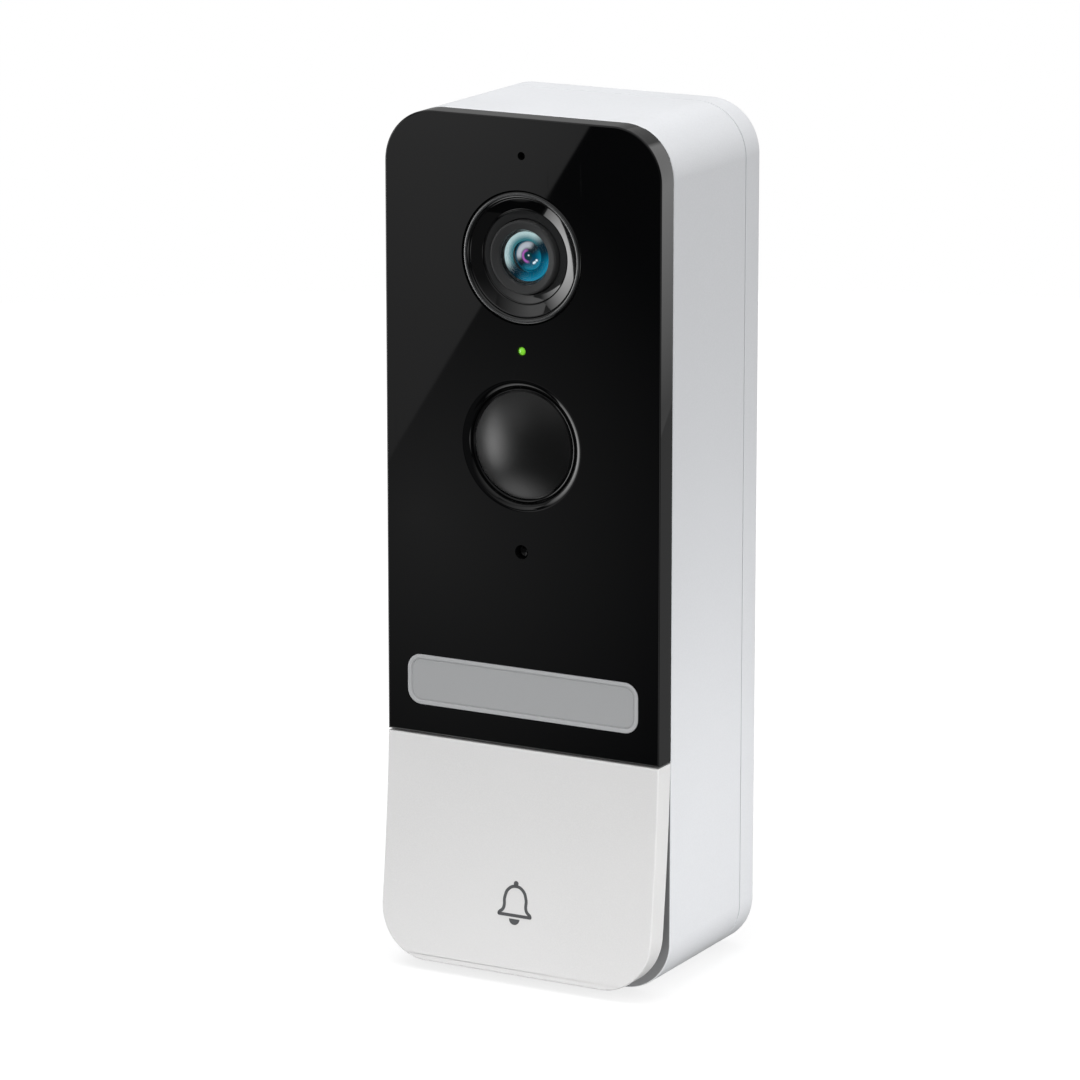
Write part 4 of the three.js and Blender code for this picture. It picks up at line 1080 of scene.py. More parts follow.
def make_indicators():
    low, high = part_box("status_light_pipe")
    r = STATUS_RADIUS
    crown = cap(r - 0.05 * MM, low.y + 0.15 * MM, low.y - 0.05 * MM, 6)
    profile = [(r, high.y), (r, low.y + 0.2 * MM), *crown]
    pipe = turned("status_light_lens", STATUS, profile, 32)
    smooth(pipe, 50)
    finish(pipe, "doorbell", "green_lens", "status_light_pipe")
    low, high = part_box("light_sensor_lens")
    r = EYE_RADIUS
    crown = cap(r - 0.15 * MM, low.y + 0.6 * MM, low.y + 0.9 * MM, 6)
    profile = [(r, high.y), (r, low.y + 0.7 * MM), *crown]
    eye = turned("light_sensor_eye", EYE, profile, 48)
    smooth(eye, 40)
    finish(eye, "doorbell", "black_gloss", "light_sensor_lens")


def make_light_bar():
    rim = bpy.context.scene.doorbell_sizes.lit_ring
    bar = rounded_block("light_bar_lens", BAR_LOW, BAR_HIGH, BAR_CORNER, steps=12)
    pick(bar, "FACE", lambda face: face.normal.y < -0.9)
    bpy.ops.mesh.inset(thickness=rim, depth=0)
    for width, sink in ((0.1, 0.2), (0.1, 0.0), (0.15, -0.12)):
        bpy.ops.mesh.inset(thickness=width * MM, depth=0)
        bpy.ops.transform.translate(value=(0, sink * MM, 0))
    object_mode()
    soften(bar, 0.05 * MM)
    finish(bar, "doorbell", "grey_diffuser", "light_bar_diffuser")


# ---- Call button ----


def lean_at(height):
    """How far the button's front stands forward of the glass at a height."""
    drop = max(SPLIT - height, 0)
    return LEAN * (drop / LEAN_DROP) ** LEAN_POWER


def leaning_block(name, front, rear, inset, top, whole):
    """A block with the button's outline, cut in rows and leant forward row by row."""
    half, bottom = HALF - inset, BUTTON_LOW.z + inset
    piece = rounded_block(
        name,
        (-half, front, bottom),
        (half, rear, top),
        CASE_CORNER - inset,
        lambda place: place.z < (bottom + top) / 2,
    )
    for row in range(1, LEAN_ROWS):
        height = bottom + (top - bottom) * row / LEAN_ROWS
        pick(piece, "FACE", everything)
        bpy.ops.mesh.bisect(plane_co=(0, 0, height), plane_no=(0, 0, 1))
    object_mode()
    heights = sorted({round(vertex.co.z / TINY) for vertex in piece.data.vertices})
    for height in heights:
        pick(
            piece,
            "VERT",
            lambda vertex: round(vertex.co.z / TINY) == height
            and (whole or vertex.co.y < (front + rear) / 2),
        )
        bpy.ops.transform.translate(value=(0, -lean_at(height * TINY), 0))
    object_mode()
    return piece


def make_call_button():
    sizes = bpy.context.scene.doorbell_sizes
    rear = GLASS + BUTTON_THICKNESS
    button = leaning_block("call_button_cap", GLASS, rear, 0, BUTTON_HIGH.z, True)
    sink(button, SKIRT, BUTTON_THICKNESS - FACE)
    round_edges(button, sizes.edge_round, leaning_rim, 4)
    carve_button_fittings(button)
    soften(button, 0.15 * MM, 2, 40)
    finish(button, "call_button", "white_button", "call_button")


def carve_button_fittings(button):
    """Adds the arms on the pivot rod, the post that works the switch and the two stops."""
    rod_low, rod_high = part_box("button_pivot_rod")
    pivot = (rod_low + rod_high) / 2
    bore = (rod_high.y - rod_low.y) / 2
    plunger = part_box("switch_plunger")[0]
    switch = middle("switch_plunger")

    def skin(height):
        return GLASS - lean_at(height) + FACE - FIT

    for side in SIDES:
        x = side * ARM_PLACE
        reach = pivot.y + bore + 1 * MM
        arm = block(
            "arm",
            (x - 1.5 * MM, skin(pivot.z), pivot.z - 2.5 * MM),
            (x + 1.5 * MM, reach, pivot.z + 2.5 * MM),
        )
        round_edges(
            arm, 1.2 * MM, lambda e: runs_along(e, 0) and middle_of(e).y > reach - TINY, 6
        )
        fuse(button, arm)
        bumper = middle("button_bumper_left")
        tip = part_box("button_bumper_left")[0].y - 1.3 * MM
        place = Vector((side * abs(bumper.x), 0, bumper.z))
        fuse(button, rod("stop", place, 2.2 * MM, skin(bumper.z), tip))
    fuse(button, rod("post", switch, 2.2 * MM, skin(switch.z), plunger.y - FIT))
    carve(button, rod("bore", pivot, bore + 0.13 * MM, -HALF, HALF, axis=0))


# The right half of the bell's outline, across in drawing units and up in parts of its rise.
BELL_UNITS = 8.1
BELL_RISE = 3.62
INK_FILM = 0.06 * MM
BELL_OUTLINE = (
    (0.0, 0.91),
    (1.62, 0.72),
    (2.36, 0.27),
    (2.5, -0.25),
    (3.3, -0.49),
    (3.28, -0.62),
    (2.95, -0.65),
)


def make_bell():
    """The bell printed on the button: outline, knob and half-moon clapper."""
    sizes = bpy.context.scene.doorbell_sizes
    unit = sizes.bell_height / BELL_UNITS
    rise = BELL_RISE * unit
    centre = Vector((-0.12 * MM, 0, BUTTON_LOW.z + 12.5 * MM))
    right = [(x * unit, z * rise) for x, z in BELL_OUTLINE]
    outline = right + [(-x, z) for x, z in reversed(right) if x > 0]
    object_mode()
    bpy.ops.object.select_all(action="DESELECT")
    bpy.ops.curve.primitive_bezier_circle_add(radius=unit)
    line = bpy.context.active_object
    line.data.dimensions = "3D"
    line.data.resolution_u = 12
    spline = line.data.splines[0]
    spline.bezier_points.add(len(outline) - len(spline.bezier_points))
    corners = (len(right) - 1, len(right))
    for i, (x, z) in enumerate(outline):
        point = spline.bezier_points[i]
        point.co = (x, 0, z)
        kind = "VECTOR" if i in corners else "AUTO"
        point.handle_left_type = kind
        point.handle_right_type = kind
    point = spline.bezier_points[corners[0]]
    point.handle_left_type = "AUTO"
    spline.bezier_points[corners[1]].handle_right_type = "AUTO"
    bpy.ops.object.convert(target="MESH")
    bell = started("bell_mark")
    pick(bell, "EDGE", everything)
    bpy.ops.mesh.edge_face_add()
    pick(bell, "FACE", everything)
    bpy.ops.mesh.inset(thickness=sizes.bell_stroke, depth=0, use_even_offset=True)
    bpy.ops.mesh.delete(type="FACE")
    object_mode()
    knob = disc("knob", (0, 0, rise * 0.91 + 0.22 * unit), 0.46 * unit)
    clapper = disc("clapper", (0, 0, -rise * 0.65 - 0.34 * unit), 1.02 * unit)
    pick(clapper, "VERT", everything)
    bpy.ops.mesh.bisect(
        plane_co=(0, 0, -rise * 0.65 - 0.36 * unit),
        plane_no=(0, 0, 1),
        clear_outer=True,
        use_fill=False,
    )
    object_mode()
    only(bell)
    knob.select_set(True)
    clapper.select_set(True)
    bpy.ops.object.join()
    bell.location = centre
    only(bell)
    bpy.ops.object.transform_apply(location=True, rotation=True, scale=True)
    lay_on_button(bell)
    finish(bell, "call_button", "black_matte", look="bell_ink")


def disc(name, centre, radius):
    """A flat round of ink facing the front."""
    object_mode()
    bpy.ops.mesh.primitive_circle_add(
        vertices=40, radius=radius, fill_type="NGON", location=centre, rotation=ALONG[1]
    )
    return started(name)


def lay_on_button(ink):
    """Drops flat ink onto the button's leaning front and gives it a film's thickness."""
    pick(ink, "FACE", everything)
    bpy.ops.mesh.quads_convert_to_tris()
    bpy.ops.mesh.subdivide(number_cuts=2)
    object_mode()
    only(ink)
    bpy.ops.transform.translate(value=(0, GLASS - LEAN - 5 * MM, 0))
    bpy.ops.object.transform_apply(location=True, rotation=True, scale=True)
    modify(
        ink,
        "SHRINKWRAP",
        target=bpy.data.objects["call_button_cap"],
        wrap_method="PROJECT",
        use_project_x=False,
        use_project_y=True,
        use_project_z=False,
        use_positive_direction=True,
        use_negative_direction=False,
        project_limit=0,
    )
    pick(ink, "FACE", everything)
    bpy.ops.mesh.normals_make_consistent(inside=False)
    object_mode()
    if sum(polygon.normal.y for polygon in ink.data.polygons) > 0:
        pick(ink, "FACE", everything)
        bpy.ops.mesh.flip_normals()
        object_mode()
    modify(ink, "SOLIDIFY", thickness=INK_FILM, offset=0.6)
    smooth(ink, 32)


# ---- White housing ----


def screw_places():
    return [middle(f"case_screw_{i}") for i in range(1, 5)]


def make_housing():
    sizes = bpy.context.scene.doorbell_sizes
    housing = case_block("main_housing_shell", HOUSING_FRONT, HOUSING_REAR)
    hollow(housing, REBATE_INSET, REBATE)
    rest = HOUSING_REAR - REBATE - HOUSING_FRONT - FRONT_WALL
    sunk = HOUSING_REAR - REBATE
    sink(housing, SHELL - REBATE_INSET, rest, lambda place: abs(place.y - sunk) < TINY)
    round_edges(housing, sizes.edge_round, panel_edge(HOUSING_FRONT), 4)
    fuse(housing, button_lip())
    fit_housing(housing)
    soften(housing, 0.12 * MM, 2)
    finish(housing, "doorbell", "white_shell", "main_housing")
    # The housing's front face and the lip in front of it take a grey that paints the shade in the
    # wedge under the button.
    housing.data.materials.append(material("grey_lip"))
    for face in housing.data.polygons:
        if face.center.y < HOUSING_FRONT + 0.02 * MM:
            face.material_index = 1


def button_lip():
    """The lip inside the button's skirt that closes the wedge under it."""
    front = GLASS + FACE + LIP_GAP
    top = SPLIT - SKIRT - 1 * MM
    rear = HOUSING_FRONT + FIT
    lip = leaning_block("lip", front, rear, LIP_INSET, top, False)
    inside = LIP_INSET + LIP_WALL
    half, bottom = HALF - inside, BUTTON_LOW.z + inside
    hole = rounded_block(
        "lip_hole",
        (-half, GLASS - 2 * LEAN, bottom),
        (half, rear + PAST, top + PAST),
        CASE_CORNER - inside,
        lambda place: place.z < SPLIT - 10 * MM,
    )
    return carve(lip, hole)


def fit_housing(housing):
    """Adds the screw columns and pivot lugs, and cuts every opening."""
    inside = HOUSING_FRONT + FRONT_WALL
    pivot = middle("button_pivot_rod")
    span = radius_of("button_pivot_rod")
    bore = 1.13 * MM
    for place in screw_places():
        fuse(housing, rod("column", place, 3 * MM, inside - FIT, HOUSING_REAR - 1 * MM))
        carve(housing, rod("pilot", place, 1.2 * MM, inside + 2 * MM, HOUSING_REAR))
    for side in SIDES:
        x = side * (span - 1.7 * MM)
        lug = block(
            "lug",
            (x - 1.2 * MM, inside - FIT, pivot.z - 2 * MM),
            (x + 1.2 * MM, pivot.y + 2 * MM, pivot.z + 2 * MM),
        )
        fuse(housing, lug)
    through = (HOUSING_FRONT - PAST, inside + PAST)
    switch = middle("switch_plunger")
    window_low = (-16 * MM, through[0], SPLIT + 18 * MM)
    window_high = (16 * MM, through[1], TOP - 10 * MM)
    tools = [rounded_block("window", window_low, window_high, 2 * MM, steps=6)]
    for side in SIDES:
        x = side * ARM_PLACE
        slot_low = (x - 1.95 * MM, through[0], pivot.z - 3.1 * MM)
        slot_high = (x + 1.95 * MM, through[1], pivot.z + 3.1 * MM)
        tools.append(rounded_block("slot", slot_low, slot_high, 0.6 * MM, steps=4))
    tools.append(rod("plunger_hole", switch, 2.6 * MM, *through))
    tools.append(rod("mic_seat", MICROPHONE, 2.7 * MM, *through))
    tools.append(rod("pivot_bore", pivot, bore, -span - 1 * MM, span + 1 * MM, axis=0))
    tools.extend(grille_slots())
    carve(housing, *tools)


def grille_slots():
    """Round-ended slots in the base, in front of the speaker."""
    speaker = middle("speaker")
    width, length, pitch, count = 1.4 * MM, 9 * MM, 3.6 * MM, 5
    slots = []
    for i in range(count):
        x = (i - (count - 1) / 2) * pitch
        low = (x - width / 2, speaker.y - length / 2, BASE - PAST)
        high = (x + width / 2, speaker.y + length / 2, BASE + SHELL + PAST)
        slots.append(rounded_block("grille", low, high, width / 2 - TINY, axis=2, steps=6))
    return slots


# ---- Rear cover and what it carries ----


def make_rear_cover():
    sizes = bpy.context.scene.doorbell_sizes
    cover = case_block("rear_cover_shell", COVER_LOW.y, REAR)
    round_edges(cover, sizes.rear_round, panel_edge(REAR), 6)
    half, top = HALF - RECESS_SIDE, TOP - RECESS_END
    recess = rounded_block(
        "recess", (-half, RECESS_FLOOR, -top), (half, REAR + PAST, top), CASE_CORNER - RECESS_SIDE
    )
    carve(cover, recess)
    through = (COVER_LOW.y - PAST, RECESS_FLOOR + PAST)
    tools = [rod("screw_hole", place, 1.35 * MM, *through) for place in screw_places()]
    for side in SIDES:
        x = side * HOOK_PLACE
        tools.append(
            block(
                "hook_pocket",
                (x - 4.6 * MM, RECESS_FLOOR, top - PAST),
                (x + 4.6 * MM, RECESS_FLOOR + 2.4 * MM, top + 1.5 * MM),
            )
        )
    for node_name, room, radius in (
        ("terminal_block", 0.3 * MM, 0.5 * MM),
        ("usb_socket", 0.45 * MM, 1.5 * MM),
    ):
        low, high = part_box(node_name)
        low_corner = (low.x - room, through[0], low.z - room)
        high_corner = (high.x + room, through[1], high.z + room)
        tools.append(rounded_block("socket_hole", low_corner, high_corner, radius, steps=6))
    reset = middle("reset_button")
    screw = middle("security_screw")
    tools.append(rod("reset_hole", reset, 1.85 * MM, *through))
    tools.append(rod("shank_hole", screw, 1.35 * MM, BASE - PAST, -top + PAST, axis=2))
    tools.append(rod("head_hole", screw, 2.35 * MM, BASE - PAST, BASE + 2.3 * MM, axis=2))
    carve(cover, *tools)
    soften(cover, 0.12 * MM, 2)
    finish(cover, "doorbell", "white_shell", "rear_cover")


def make_usb_flap():
    """The rubber flap: plate, pull ridge, hinge bead and the plug that fills the socket."""
    low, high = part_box("usb_flap")
    face = RECESS_FLOOR + FIT
    flap = rounded_block("usb_flap_cover", (low.x, face, low.z), high, 1.6 * MM, steps=8)
    socket_low, socket_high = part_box("usb_socket")
    plug = rounded_block(
        "plug",
        (socket_low.x + 0.2 * MM, low.y, socket_low.z + 0.2 * MM),
        (socket_high.x - 0.2 * MM, face + FIT, socket_high.z - 0.2 * MM),
        1.3 * MM,
        steps=8,
    )
    fuse(flap, plug)
    groove = block(
        "hinge_groove",
        (low.x - PAST, high.y - 0.45 * MM, high.z - 1.7 * MM),
        (high.x + PAST, high.y + PAST, high.z - 1.2 * MM),
    )
    thumb = rounded_block(
        "thumb",
        (-2.6 * MM, high.y - 0.35 * MM, low.z + 0.9 * MM),
        (2.6 * MM, high.y + PAST, low.z + 2.3 * MM),
        0.65 * MM,
        steps=6,
    )
    carve(flap, groove, thumb)
    soften(flap, 0.22 * MM, 3)
    finish(flap, "usb_flap", "grey_rubber", "usb_flap")


def make_reset_button():
    low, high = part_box("reset_button")
    centre = middle("reset_button")
    r, flange = 1.6 * MM, radius_of("reset_button")
    profile = [
        *near(flange, low.y, (0, 0), (0, 1.1)),
        (r, low.y + 1.1 * MM),
        *near(r, high.y, (0, -0.25), (-0.07, -0.08), (-0.25, 0), (-0.6, 0)),
        *cap(r - 0.7 * MM, high.y - 0.02 * MM, high.y - 0.3 * MM, 6),
    ]
    button = turned("reset_button_cap", centre, profile, 48)
    smooth(button, 40)
    finish(button, "reset_button", "black_matte", "reset_button")


def make_terminals():
    """The terminal block with its wells, and one screw copied to the other well."""
    low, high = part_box("terminal_block")
    block_piece = rounded_block("terminal_block_body", low, high, 0.4 * MM, steps=4)
    screw_low, screw_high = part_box("terminal_screw_left")
    tools = []
    for side in ("left", "right"):
        place = middle(f"terminal_screw_{side}")
        tools.append(rod("well", place, 2.6 * MM, screw_low.y - FIT, high.y + PAST, sides=40))
    bpy.context.view_layer.update()
    carve(block_piece, *tools)
    soften(block_piece, 0.15 * MM, 2)
    finish(block_piece, "doorbell", "black_matte", "terminal_block")
    left, right = middle("terminal_screw_left"), middle("terminal_screw_right")
    screw = slotted_head("terminal_screw_left_head", left, screw_low.y, screw_high.y)
    twin = copied(screw, "terminal_screw_right_head", right - left)
    for piece, cad in ((screw, "terminal_screw_left"), (twin, "terminal_screw_right")):
        finish(piece, "doorbell", "brass", cad)


def slotted_head(name, centre, low, high):
    """A pan head seen from behind, with a straight slot."""
    r = radius_of("terminal_screw_left")
    profile = [
        (r, low),
        *near(r, high, (0, -0.4), (-0.12, -0.18), (-0.4, -0.05)),
        *cap(r - 0.6 * MM, high - 0.02 * MM, high, 4),
    ]
    head = turned(name, centre, profile, 48)
    slot = block(
        "slot",
        (centre.x - 0.33 * MM, high - 0.6 * MM, centre.z - r - PAST),
        (centre.x + 0.33 * MM, high + PAST, centre.z + r + PAST),
    )
    carve(head, slot)
    soften(head, 0.05 * MM, 2, 40)
    return head


def copied(piece, name, shift):
    """A copy of a piece with its own mesh, moved."""
    only(piece)
    bpy.ops.object.duplicate(linked=False)
    twin = bpy.context.active_object
    bpy.ops.transform.translate(value=shift)
    bpy.ops.object.transform_apply(location=True, rotation=True, scale=True)
    twin.name = name
    twin.data.name = name
    return twin


def make_case_screws():
    """Cross-slotted screws in the bracket recess: one is shaped, then copied."""
    places = screw_places()
    low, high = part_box("case_screw_1")
    r = radius_of("case_screw_1")
    shank = 1.1 * MM
    head_low = high.y - 1.1 * MM
    profile = [
        (0.35 * MM, low.y),
        (shank, low.y + 1.2 * MM),
        (shank, head_low),
        (r, head_low),
        *near(r, high.y, (0, -0.4), (-0.12, -0.15), (-0.45, -0.03)),
        *cap(r - 0.6 * MM, high.y - 0.02 * MM, high.y, 4),
    ]
    centre = places[0]
    first = turned("case_screw_1_head", centre, profile, 32)
    for width, height in ((1.2, 0.3), (0.3, 1.2)):
        cross = block(
            "cross",
            (centre.x - width * MM, high.y - 0.6 * MM, centre.z - height * MM),
            (centre.x + width * MM, high.y + PAST, centre.z + height * MM),
        )
        carve(first, cross)
    soften(first, 0.05 * MM, 2, 40)
    screws = [first]
    for i, place in enumerate(places[1:], start=2):
        screws.append(copied(first, f"case_screw_{i}_head", place - centre))
    for i, screw in enumerate(screws, start=1):
        finish(screw, "doorbell", "steel", f"case_screw_{i}")


def make_security_screw():
    low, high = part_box("security_screw")
    centre = middle("security_screw")
    r, shank = radius_of("security_screw"), 1.1 * MM
    head_top = BASE + 2 * MM
    profile = [
        *near(shank, high.z, (-0.2, 0), (0, -0.3)),
        (shank, head_top),
        (r, head_top),
        *near(r, low.z, (0, 0.3), (-0.1, 0.1), (-0.35, 0), (-0.8, 0)),
    ]
    screw = turned("security_screw_body", centre, profile, 48, axis=2)
    key = rod("key", centre, 1.2 * MM, low.z - PAST, low.z + 1.1 * MM, axis=2, sides=6)
    carve(screw, key)
    soften(screw, 0.05 * MM, 2, 40)
    finish(screw, "doorbell", "steel", "security_screw")


# ---- Wall bracket ----


def make_wall_bracket():
    inset = BRACKET_CLEARANCE
    half, top = HALF - RECESS_SIDE - inset, TOP - RECESS_END - inset
    front = BRACKET_HIGH.y - BRACKET_PLATE
    plate = rounded_block(
        "wall_bracket_plate",
        (-half, front, -top),
        (half, BRACKET_HIGH.y, top),
        CASE_CORNER - RECESS_SIDE - inset,
    )
    hook_front = RECESS_FLOOR + inset
    hook_rear = hook_front + 1.2 * MM
    tip = BRACKET_HIGH.z
    root = top - 3.4 * MM
    parts = []
    for side in SIDES:
        x = side * HOOK_PLACE
        left, right = x - 4 * MM, x + 4 * MM
        parts.append(block("stem", (left, hook_front, root), (right, front + FIT, top - 1 * MM)))
        parts.append(block("hook", (left, hook_front, root), (right, hook_rear, tip)))
    tab_front = RECESS_FLOOR + 0.3 * MM
    parts.append(
        block("tab", (-6 * MM, tab_front, -top), (6 * MM, front + FIT, -top + 2.4 * MM))
    )
    fuse(plate, *parts)
    screw = middle("security_screw")
    notch = block(
        "notch",
        (-1.6 * MM, RECESS_FLOOR - PAST, -top - PAST),
        (1.6 * MM, screw.y + 1.6 * MM, -top + 4 * MM),
    )
    window = rounded_block(
        "window",
        (-16 * MM, front - PAST, -40 * MM),
        (16 * MM, BRACKET_HIGH.y + PAST, -8 * MM),
        3 * MM,
        steps=8,
    )
    tools = [notch, window]
    for side in SIDES:
        tools.append(countersink(Vector((0, 0, side * 44 * MM)), front))
    carve(plate, *tools)
    soften(plate, 0.2 * MM, 3)
    finish(plate, "wall_bracket", "white_shell", "wall_bracket")


def countersink(centre, front):
    """The cutter for a wall screw's hole, widening towards the front."""
    hole = 2.2 * MM
    land = 0.6 * MM
    wide = hole + BRACKET_PLATE - land
    profile = [(hole, BRACKET_HIGH.y + PAST), (hole, -land), (wide, front), (wide, front - PAST)]
    return turned("countersink", centre, profile, 48)


# ---- Inner pieces that keep their CAD shape ----


def finish_inner_nodes():
    """Gives every CAD node that still shows the material of its slot."""
    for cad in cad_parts.values():
        if cad.hide_render:
            continue
        for slot in cad.material_slots:
            slot.material = material(slot.material.name.split(".")[0])


# ---- Stage ----

VIEW_AZIMUTH = math.radians(28.67)
VIEW_ELEVATION = math.radians(13.49)
VIEW_DISTANCE = 0.95
VIEW_TARGET = Vector((3.59, -37.8, 3.36)) * MM
VIEW_LENS = 186.27
FLOOR_RADIUS = 0.6
EDGE_SOFTNESS = 0.001  # over which a card passes from its light to its haze


def view_back():
    flat = math.cos(VIEW_ELEVATION)
    return Vector(
        (math.sin(VIEW_AZIMUTH) * flat, -math.cos(VIEW_AZIMUTH) * flat, math.sin(VIEW_ELEVATION))
    )


def make_camera_view():
    bpy.ops.object.camera_add(location=VIEW_TARGET + view_back() * VIEW_DISTANCE)
    camera = bpy.context.active_object
    camera.name = "view_camera"
    camera.data.lens = VIEW_LENS
    camera.data.clip_start = 0.01
    camera.rotation_euler = (-view_back()).to_track_quat("-Z", "Y").to_euler()
    bpy.context.scene.camera = camera


def glow(name, strength, fade, edge=None):
    """A card's light, fading from a bright centre, and past an edge only the dimmer haze."""
    made = bpy.data.materials.new(name)
    made.use_nodes = True
    tree = made.node_tree
    tree.nodes.clear()
    power = fading(tree, strength, fade)
    if edge:
        point, normal, haze_strength, haze_fade = edge
        side = vector(tree, "SUBTRACT", object_place(tree), point)
        lit = ranged(tree, vector(tree, "DOT_PRODUCT", side, normal), 0.0, EDGE_SOFTNESS)
        haze = fading(tree, haze_strength, haze_fade)
        power = maths(tree, "ADD", maths(tree, "MULTIPLY", power, lit), haze)
    light = node(tree, "ShaderNodeEmission", {"Strength": power})
    node(tree, "ShaderNodeOutputMaterial", {0: light.outputs[0]})
    made.cycles.emission_sampling = "NONE"
    return made


def fading(tree, strength, fade):
    """A strength that falls from full to a floor between two distances from a centre."""
    centre, inner, outer, floor, power = fade
    away = vector(tree, "DISTANCE", object_place(tree), centre)
    nearness = node(
        tree, "ShaderNodeMapRange", {"Value": away, "From Min": outer, "From Max": inner}
    ).outputs[0]
    lit = maths(tree, "MULTIPLY", maths(tree, "POWER", nearness, power), (1 - floor) * strength)
    return maths(tree, "ADD", lit, floor * strength)


def card(name, corners, strength, fade, edge=None):
    """A flat light that only reflections see."""
    object_mode()
    bpy.ops.mesh.primitive_plane_add(size=1)
    piece = started(name)
    for vertex, corner in zip(piece.data.vertices, corners):
        vertex.co = corner
    piece.data.materials.append(glow(name, strength, fade, edge))
    piece.visible_camera = False
    piece.visible_diffuse = False
    piece.visible_shadow = False


def in_window(x, z, reach=1):
    """Where a card's corner must be to be seen mirrored at a place on the window."""
    eye = VIEW_TARGET + view_back() * VIEW_DISTANCE
    mirrored = Vector((eye.x, 2 * GLASS - eye.y, eye.z))
    place = Vector((x * MM, GLASS, z * MM))
    return place + (place - mirrored) * reach


def area_light(name, place, target, size, power):
    """A soft light that leaves no reflection of its own shape."""
    bpy.ops.object.light_add(type="AREA", location=place)
    lamp = bpy.context.active_object
    lamp.name = name
    lamp.data.shape = "RECTANGLE"
    lamp.data.size, lamp.data.size_y = size
    lamp.data.energy = power
    aim = Vector(target) - Vector(place)
    lamp.rotation_euler = aim.to_track_quat("-Z", "Y").to_euler()
    lamp.visible_glossy = False
    lamp.visible_camera = False


def make_world():
    """White to the camera, a fill from above for matt surfaces and a dim room for reflections."""
    world = bpy.data.worlds.new("studio")
    bpy.context.scene.world = world
    world.use_nodes = True
    tree = world.node_tree
    tree.nodes.clear()
    path = node(tree, "ShaderNodeLightPath")
    way = node(
        tree, "ShaderNodeSeparateXYZ", {0: node(tree, "ShaderNodeTexCoord").outputs["Generated"]}
    )
    behind = ranged(tree, way.outputs["Y"], 0.1, 0.8, 0.0, 0.3)
    above = ranged(tree, way.outputs["Z"], 0.1, 0.9, 0.06, 0.7)
    room = node(tree, "ShaderNodeBackground", {"Strength": maths(tree, "ADD", behind, above)})
    sky = ranged(tree, way.outputs["Z"], -0.9, 0.9, 0.14, 0.69)
    fill = node(
        tree, "ShaderNodeBackground", {"Color": (0.985, 0.99, 1.0, 1), "Strength": sky}
    )
    plain = node(tree, "ShaderNodeBackground", {"Color": (1, 1, 1, 1), "Strength": 1.0})
    first = node(
        tree,
        "ShaderNodeMixShader",
        {0: path.outputs["Is Glossy Ray"], 1: fill.outputs[0], 2: room.outputs[0]},
    )
    second = node(
        tree,
        "ShaderNodeMixShader",
        {0: path.outputs["Is Camera Ray"], 1: first.outputs[0], 2: plain.outputs[0]},
    )
    node(tree, "ShaderNodeOutputWorld", {0: second.outputs[0]})


def make_floor():
    """A pale disc that brightens away from the object into the plain background."""
    object_mode()
    bpy.ops.mesh.primitive_circle_add(
        vertices=64, radius=FLOOR_RADIUS, fill_type="NGON", location=(0, 0, BASE)
    )
    floor = started("floor")
    pale = Finish("pale_floor", Roughness=0.8, Specular_IOR_Level=0.0)
    place = object_place(pale.tree)
    far = ranged(pale.tree, vector(pale.tree, "LENGTH", place), 0.12, 0.4)
    soft = noise(pale.tree, place, 3.0)
    colour = pale.blend(soft, (0.29, 0.29, 0.29), (0.31, 0.31, 0.31))
    pale.feed("Base Color", pale.blend(far, colour, (0.05, 0.05, 0.05)))
    glowing = maths(pale.tree, "ADD", maths(pale.tree, "MULTIPLY", far, 0.3), 0.74)
    pale.feed("Emission Strength", glowing)
    pale.shader.inputs["Emission Color"].default_value = (1, 1, 1, 1)
    floor.data.materials.append(pale.material)
    floor.visible_glossy = False
    floor.visible_diffuse = False
    floor.visible_shadow = False


# Each light's place, its target, its size and its power.
LIGHTS = {
    "top_light": ((-0.08, -0.12, 0.65), (0, -0.02, 0), (0.6, 0.6), 3.0),
    "right_light": ((0.6, -0.5, 0.05), (0, -0.02, 0), (0.4, 0.5), 1.35),
    "front_light": ((-0.35, -1.0, 0.3), (0, -0.03, 0), (0.7, 0.7), 1.4),
    "low_light": ((0.12, -0.02, -0.055), (0.03, -0.02, -0.065), (0.05, 0.05), 0.05),
    "button_light": ((0.02, -0.15, -0.14), (0, -0.04, -0.08), (0.08, 0.08), 0.065),
}

